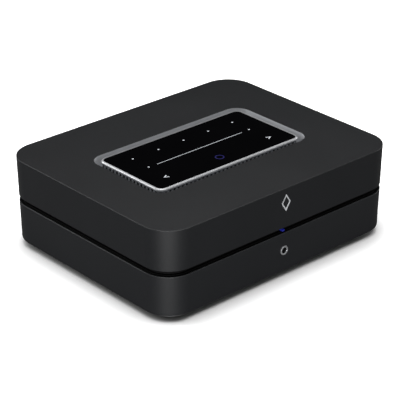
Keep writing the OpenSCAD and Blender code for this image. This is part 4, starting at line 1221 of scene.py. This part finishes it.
def outputCoils():
    wires, cores = [], []
    for x, y in zip(coil["xs"], coil["ys"]):
        ring = arcPoints((0, 0), coil["wire"], 0, 300, 5)
        wire = addPiece("wire", [(a, b, 0) for a, b in ring], edges=[(i, (i + 1) % 6) for i in range(6)])
        runTree(wire, coilTree, {"Turns": coil["turns"], "Radius": coil["radius"] / 1000,
                                 "Length": coil["length"] / 1000, "Resolution": coil["resolution"],
                                 "Centre": (x / 1000, y / 1000, (lowTop + 0.65) / 1000),
                                 "Material": surface["coil_copper"]})
        wires.append(wire)
        profile = [(0, 0), (coil["core"], 0), (coil["core"], 10.4), (4.2, 10.9), (3, 10.9), (3, 9.4),
                   (0, 9.4)]
        cores.append(lathePiece("core", profile, (x, y, lowTop), closed=False, steps=40))
    settlePiece(joinPieces("outputCoils", wires), "coil_copper", ["output_coils"])
    settlePiece(joinPieces("coilCores", cores), "tray_black")


outputCoils()

can = {"spots": ((-66, -38), (-26, -38)), "radius": 9, "height": 24, "crimp": 0.35, "vent": (12, 0.5)}


def storageCans():
    radius, height = can["radius"], can["height"]
    sleeves, lids = [], []
    for x, y in can["spots"]:
        profile = [(0, 0.05), (radius - 0.8, 0.05), (radius - 0.15, 0.7), (radius, 1.4), (radius, 2.6),
                   (radius - can["crimp"], 3.1), (radius, 3.7), (radius, height - 1.2),
                   (radius - 0.3, height - 0.3), (radius - 1.1, height), (radius - 1.6, height - 0.1),
                   (radius - 1.7, height - 0.6), (0, height - 0.6)]
        sleeves.append(lathePiece("sleeve", profile, (x, y, lowTop), closed=False, steps=48))
        profile = [(0, height - 0.55), (radius - 1.75, height - 0.55), (radius - 1.75, height - 0.1),
                   (radius - 2.4, height + 0.3), (0, height + 0.35)]
        lid = lathePiece("lid", profile, (x, y, lowTop), closed=False, steps=48)
        fixNormals(lid)
        long, wide = (size / 2 for size in can["vent"])
        low, high = lowTop + height + 0.1, lowTop + height + 1
        cross = [blockPiece("score", (x - a, y - b, low), (x + a, y + b, high))
                 for a, b in ((long, wide), (wide, long))]
        fixNormals(*cross)
        lids.append(cutPiece(lid, *cross))
    settlePiece(joinPieces("canSleeves", sleeves), "can_sleeve", ["storage_capacitors"])
    settlePiece(joinPieces("canLids", lids), "sink_grey")


storageCans()

settleCopies({
    "transformerCore": ("transformer", "core_tape", 0.5, 2),
    "heatSink": ("heat_sink", "sink_grey", 0.2, 2),
    "shieldCans": ("shield_cans", "shield_tin", 0.15, 2),
    "boardStandoffs": ("board_standoffs", "standoff_brass", 0.15, 2),
})
print("inside made")


# floor, light and camera

# the last two entries set the reach and the strength of the contact shadow painted into the floor's colour
stage = {"reach": 1.4, "fadeFrom": 0.4, "fadeTo": 0.75, "gain": 1.55, "dim": "5c5c5c", "roomPale": 1.0,
         "roomDim": 0.01, "paintedShadowReach": 0.021, "paintedShadowPower": 0.8}
lamps = {
    "overheadSoftbox": {"place": (0.0, 0.0, 1.25), "target": (0, 0, 0.03), "size": (1.7, 1.7),
                        "power": 25},
    "leftSoftbox": {"place": (-1.5, -0.35, 0.55), "target": (-0.05, 0, 0.03), "size": (0.9, 0.7),
                    "power": 1.5},
    "frontSoftbox": {"place": (0.35, -1.6, 0.55), "target": (0, -0.05, 0.03), "size": (1.0, 0.7),
                     "power": 1.5},
    "cornerStrip": {"place": (-1.0, -1.05, 0.03), "target": (-0.08, -0.07, 0.03), "size": (1.1, 0.1),
                    "power": 22},
    "rearSoftbox": {"place": (-0.9, 1.3, 0.6), "target": (0, 0.05, 0.03), "size": (0.9, 0.6),
                    "power": 13},
    "underSoftbox": {"place": (0.0, -0.007, -0.8), "target": (0, -0.007, 0), "size": (0.2, 0.16),
                     "power": 1.2},
    "rightSoftbox": {"place": (1.6, -0.35, 0.5), "target": (0.05, 0, 0.03), "size": (0.8, 0.6),
                     "power": 6},
}


def seenByCamera(tree, seen, other):
    # the room is bright to look at but sends little light back to the object
    ray = addNode(tree, "ShaderNodeLightPath")
    return addNode(tree, "ShaderNodeMixRGB", {}, {
        "Fac": ray.outputs["Is Camera Ray"], "Color1": other, "Color2": seen}).outputs[0]


def stageFloor():
    # painted board, matte and pale, with a contact shadow painted into its colour near the object; its
    # underside is left clear
    edge = stage["reach"] * 1000
    floor = addPiece("floor", [(-edge, -edge, 0), (edge, -edge, 0), (edge, edge, 0), (-edge, edge, 0)],
                     [(0, 1, 2, 3)])
    material = bpy.data.materials.new("boardWithPaintedShadow")
    material.use_nodes = True
    tree = material.node_tree
    output = next(node for node in tree.nodes if node.type == "OUTPUT_MATERIAL")
    # painted shadow: ambient occlusion darkens the floor's colour next to the object, and pale carries that
    # painted shade into the colour the camera sees
    paintedContactShadow = addNode(tree, "ShaderNodeAmbientOcclusion", {"samples": 8}, {"Distance": stage["paintedShadowReach"]})
    deep = addNode(tree, "ShaderNodeMath", {"operation": "POWER"}, {
        0: paintedContactShadow.outputs["AO"], 1: stage["paintedShadowPower"]})
    pale = addNode(tree, "ShaderNodeMath", {"operation": "MULTIPLY"}, {0: deep.outputs[0], 1: stage["gain"]})
    paint = addNode(tree, "ShaderNodeBsdfDiffuse", {}, {
        "Color": seenByCamera(tree, pale.outputs[0], toLinear(stage["dim"]))})
    clear = addNode(tree, "ShaderNodeBsdfTransparent")
    # the board fades into the room, and neither its underside nor a shadow ray meets it
    spot = addNode(tree, "ShaderNodeTexCoord").outputs["Object"]
    far = addNode(tree, "ShaderNodeVectorMath", {"operation": "LENGTH"}, {0: spot})
    fade = addNode(tree, "ShaderNodeMapRange", {"interpolation_type": "SMOOTHSTEP"}, {
        "Value": far.outputs["Value"], "From Min": stage["fadeFrom"], "From Max": stage["fadeTo"]})
    side = addNode(tree, "ShaderNodeNewGeometry")
    ray = addNode(tree, "ShaderNodeLightPath")
    first = addNode(tree, "ShaderNodeMath", {"operation": "MAXIMUM"}, {
        0: side.outputs["Backfacing"], 1: ray.outputs["Is Shadow Ray"]})
    clearShare = addNode(tree, "ShaderNodeMath", {"operation": "MAXIMUM"}, {
        0: first.outputs[0], 1: fade.outputs[0]})
    mixed = addNode(tree, "ShaderNodeMixShader", {}, {"Fac": clearShare.outputs[0]})
    tree.links.new(paint.outputs[0], mixed.inputs[1])
    tree.links.new(clear.outputs[0], mixed.inputs[2])
    tree.links.new(mixed.outputs[0], output.inputs["Surface"])
    floor.data.materials.append(material)


def softLight(title, lamp):
    data = bpy.data.lights.new(title, "AREA")
    data.shape = "RECTANGLE"
    data.size, data.size_y = lamp["size"]
    data.energy = lamp["power"]
    holder = bpy.data.objects.new(title, data)
    scene.collection.objects.link(holder)
    holder.location = lamp["place"]
    aim = Vector(lamp["target"]) - Vector(lamp["place"])
    holder.rotation_euler = aim.to_track_quat("-Z", "Y").to_euler()


world = bpy.data.worlds.new("paleRoom")
world.use_nodes = True
background = next(node for node in world.node_tree.nodes if node.type == "BACKGROUND")
paleRoom, dimRoom = stage["roomPale"], stage["roomDim"]
tone = seenByCamera(world.node_tree, (paleRoom, paleRoom, paleRoom, 1), (dimRoom, dimRoom, dimRoom, 1))
world.node_tree.links.new(tone, background.inputs["Color"])
scene.world = world
scene.view_settings.view_transform = "Standard"
stageFloor()
for title, lamp in lamps.items():
    softLight(title, lamp)
print("floor and lights placed")

view = {"lens": 155.71, "azimuth": -41.88, "elevation": 26.36, "distance": 1.2571,
        "target": (-0.0022, -0.0086, 0.02965), "sensor": 36, "clip": (0.05, 20)}
camera = bpy.data.objects.new("camera", bpy.data.cameras.new("camera"))
scene.collection.objects.link(camera)
camera.data.lens = view["lens"]
camera.data.sensor_width = view["sensor"]
camera.data.clip_start, camera.data.clip_end = view["clip"]
swing = math.radians(view["azimuth"])
rise = math.radians(view["elevation"])
outward = Vector((math.sin(swing) * math.cos(rise), -math.cos(swing) * math.cos(rise), math.sin(rise)))
camera.location = Vector(view["target"]) + outward * view["distance"]
camera.rotation_euler = outward.to_track_quat("Z", "Y").to_euler()
scene.camera = camera
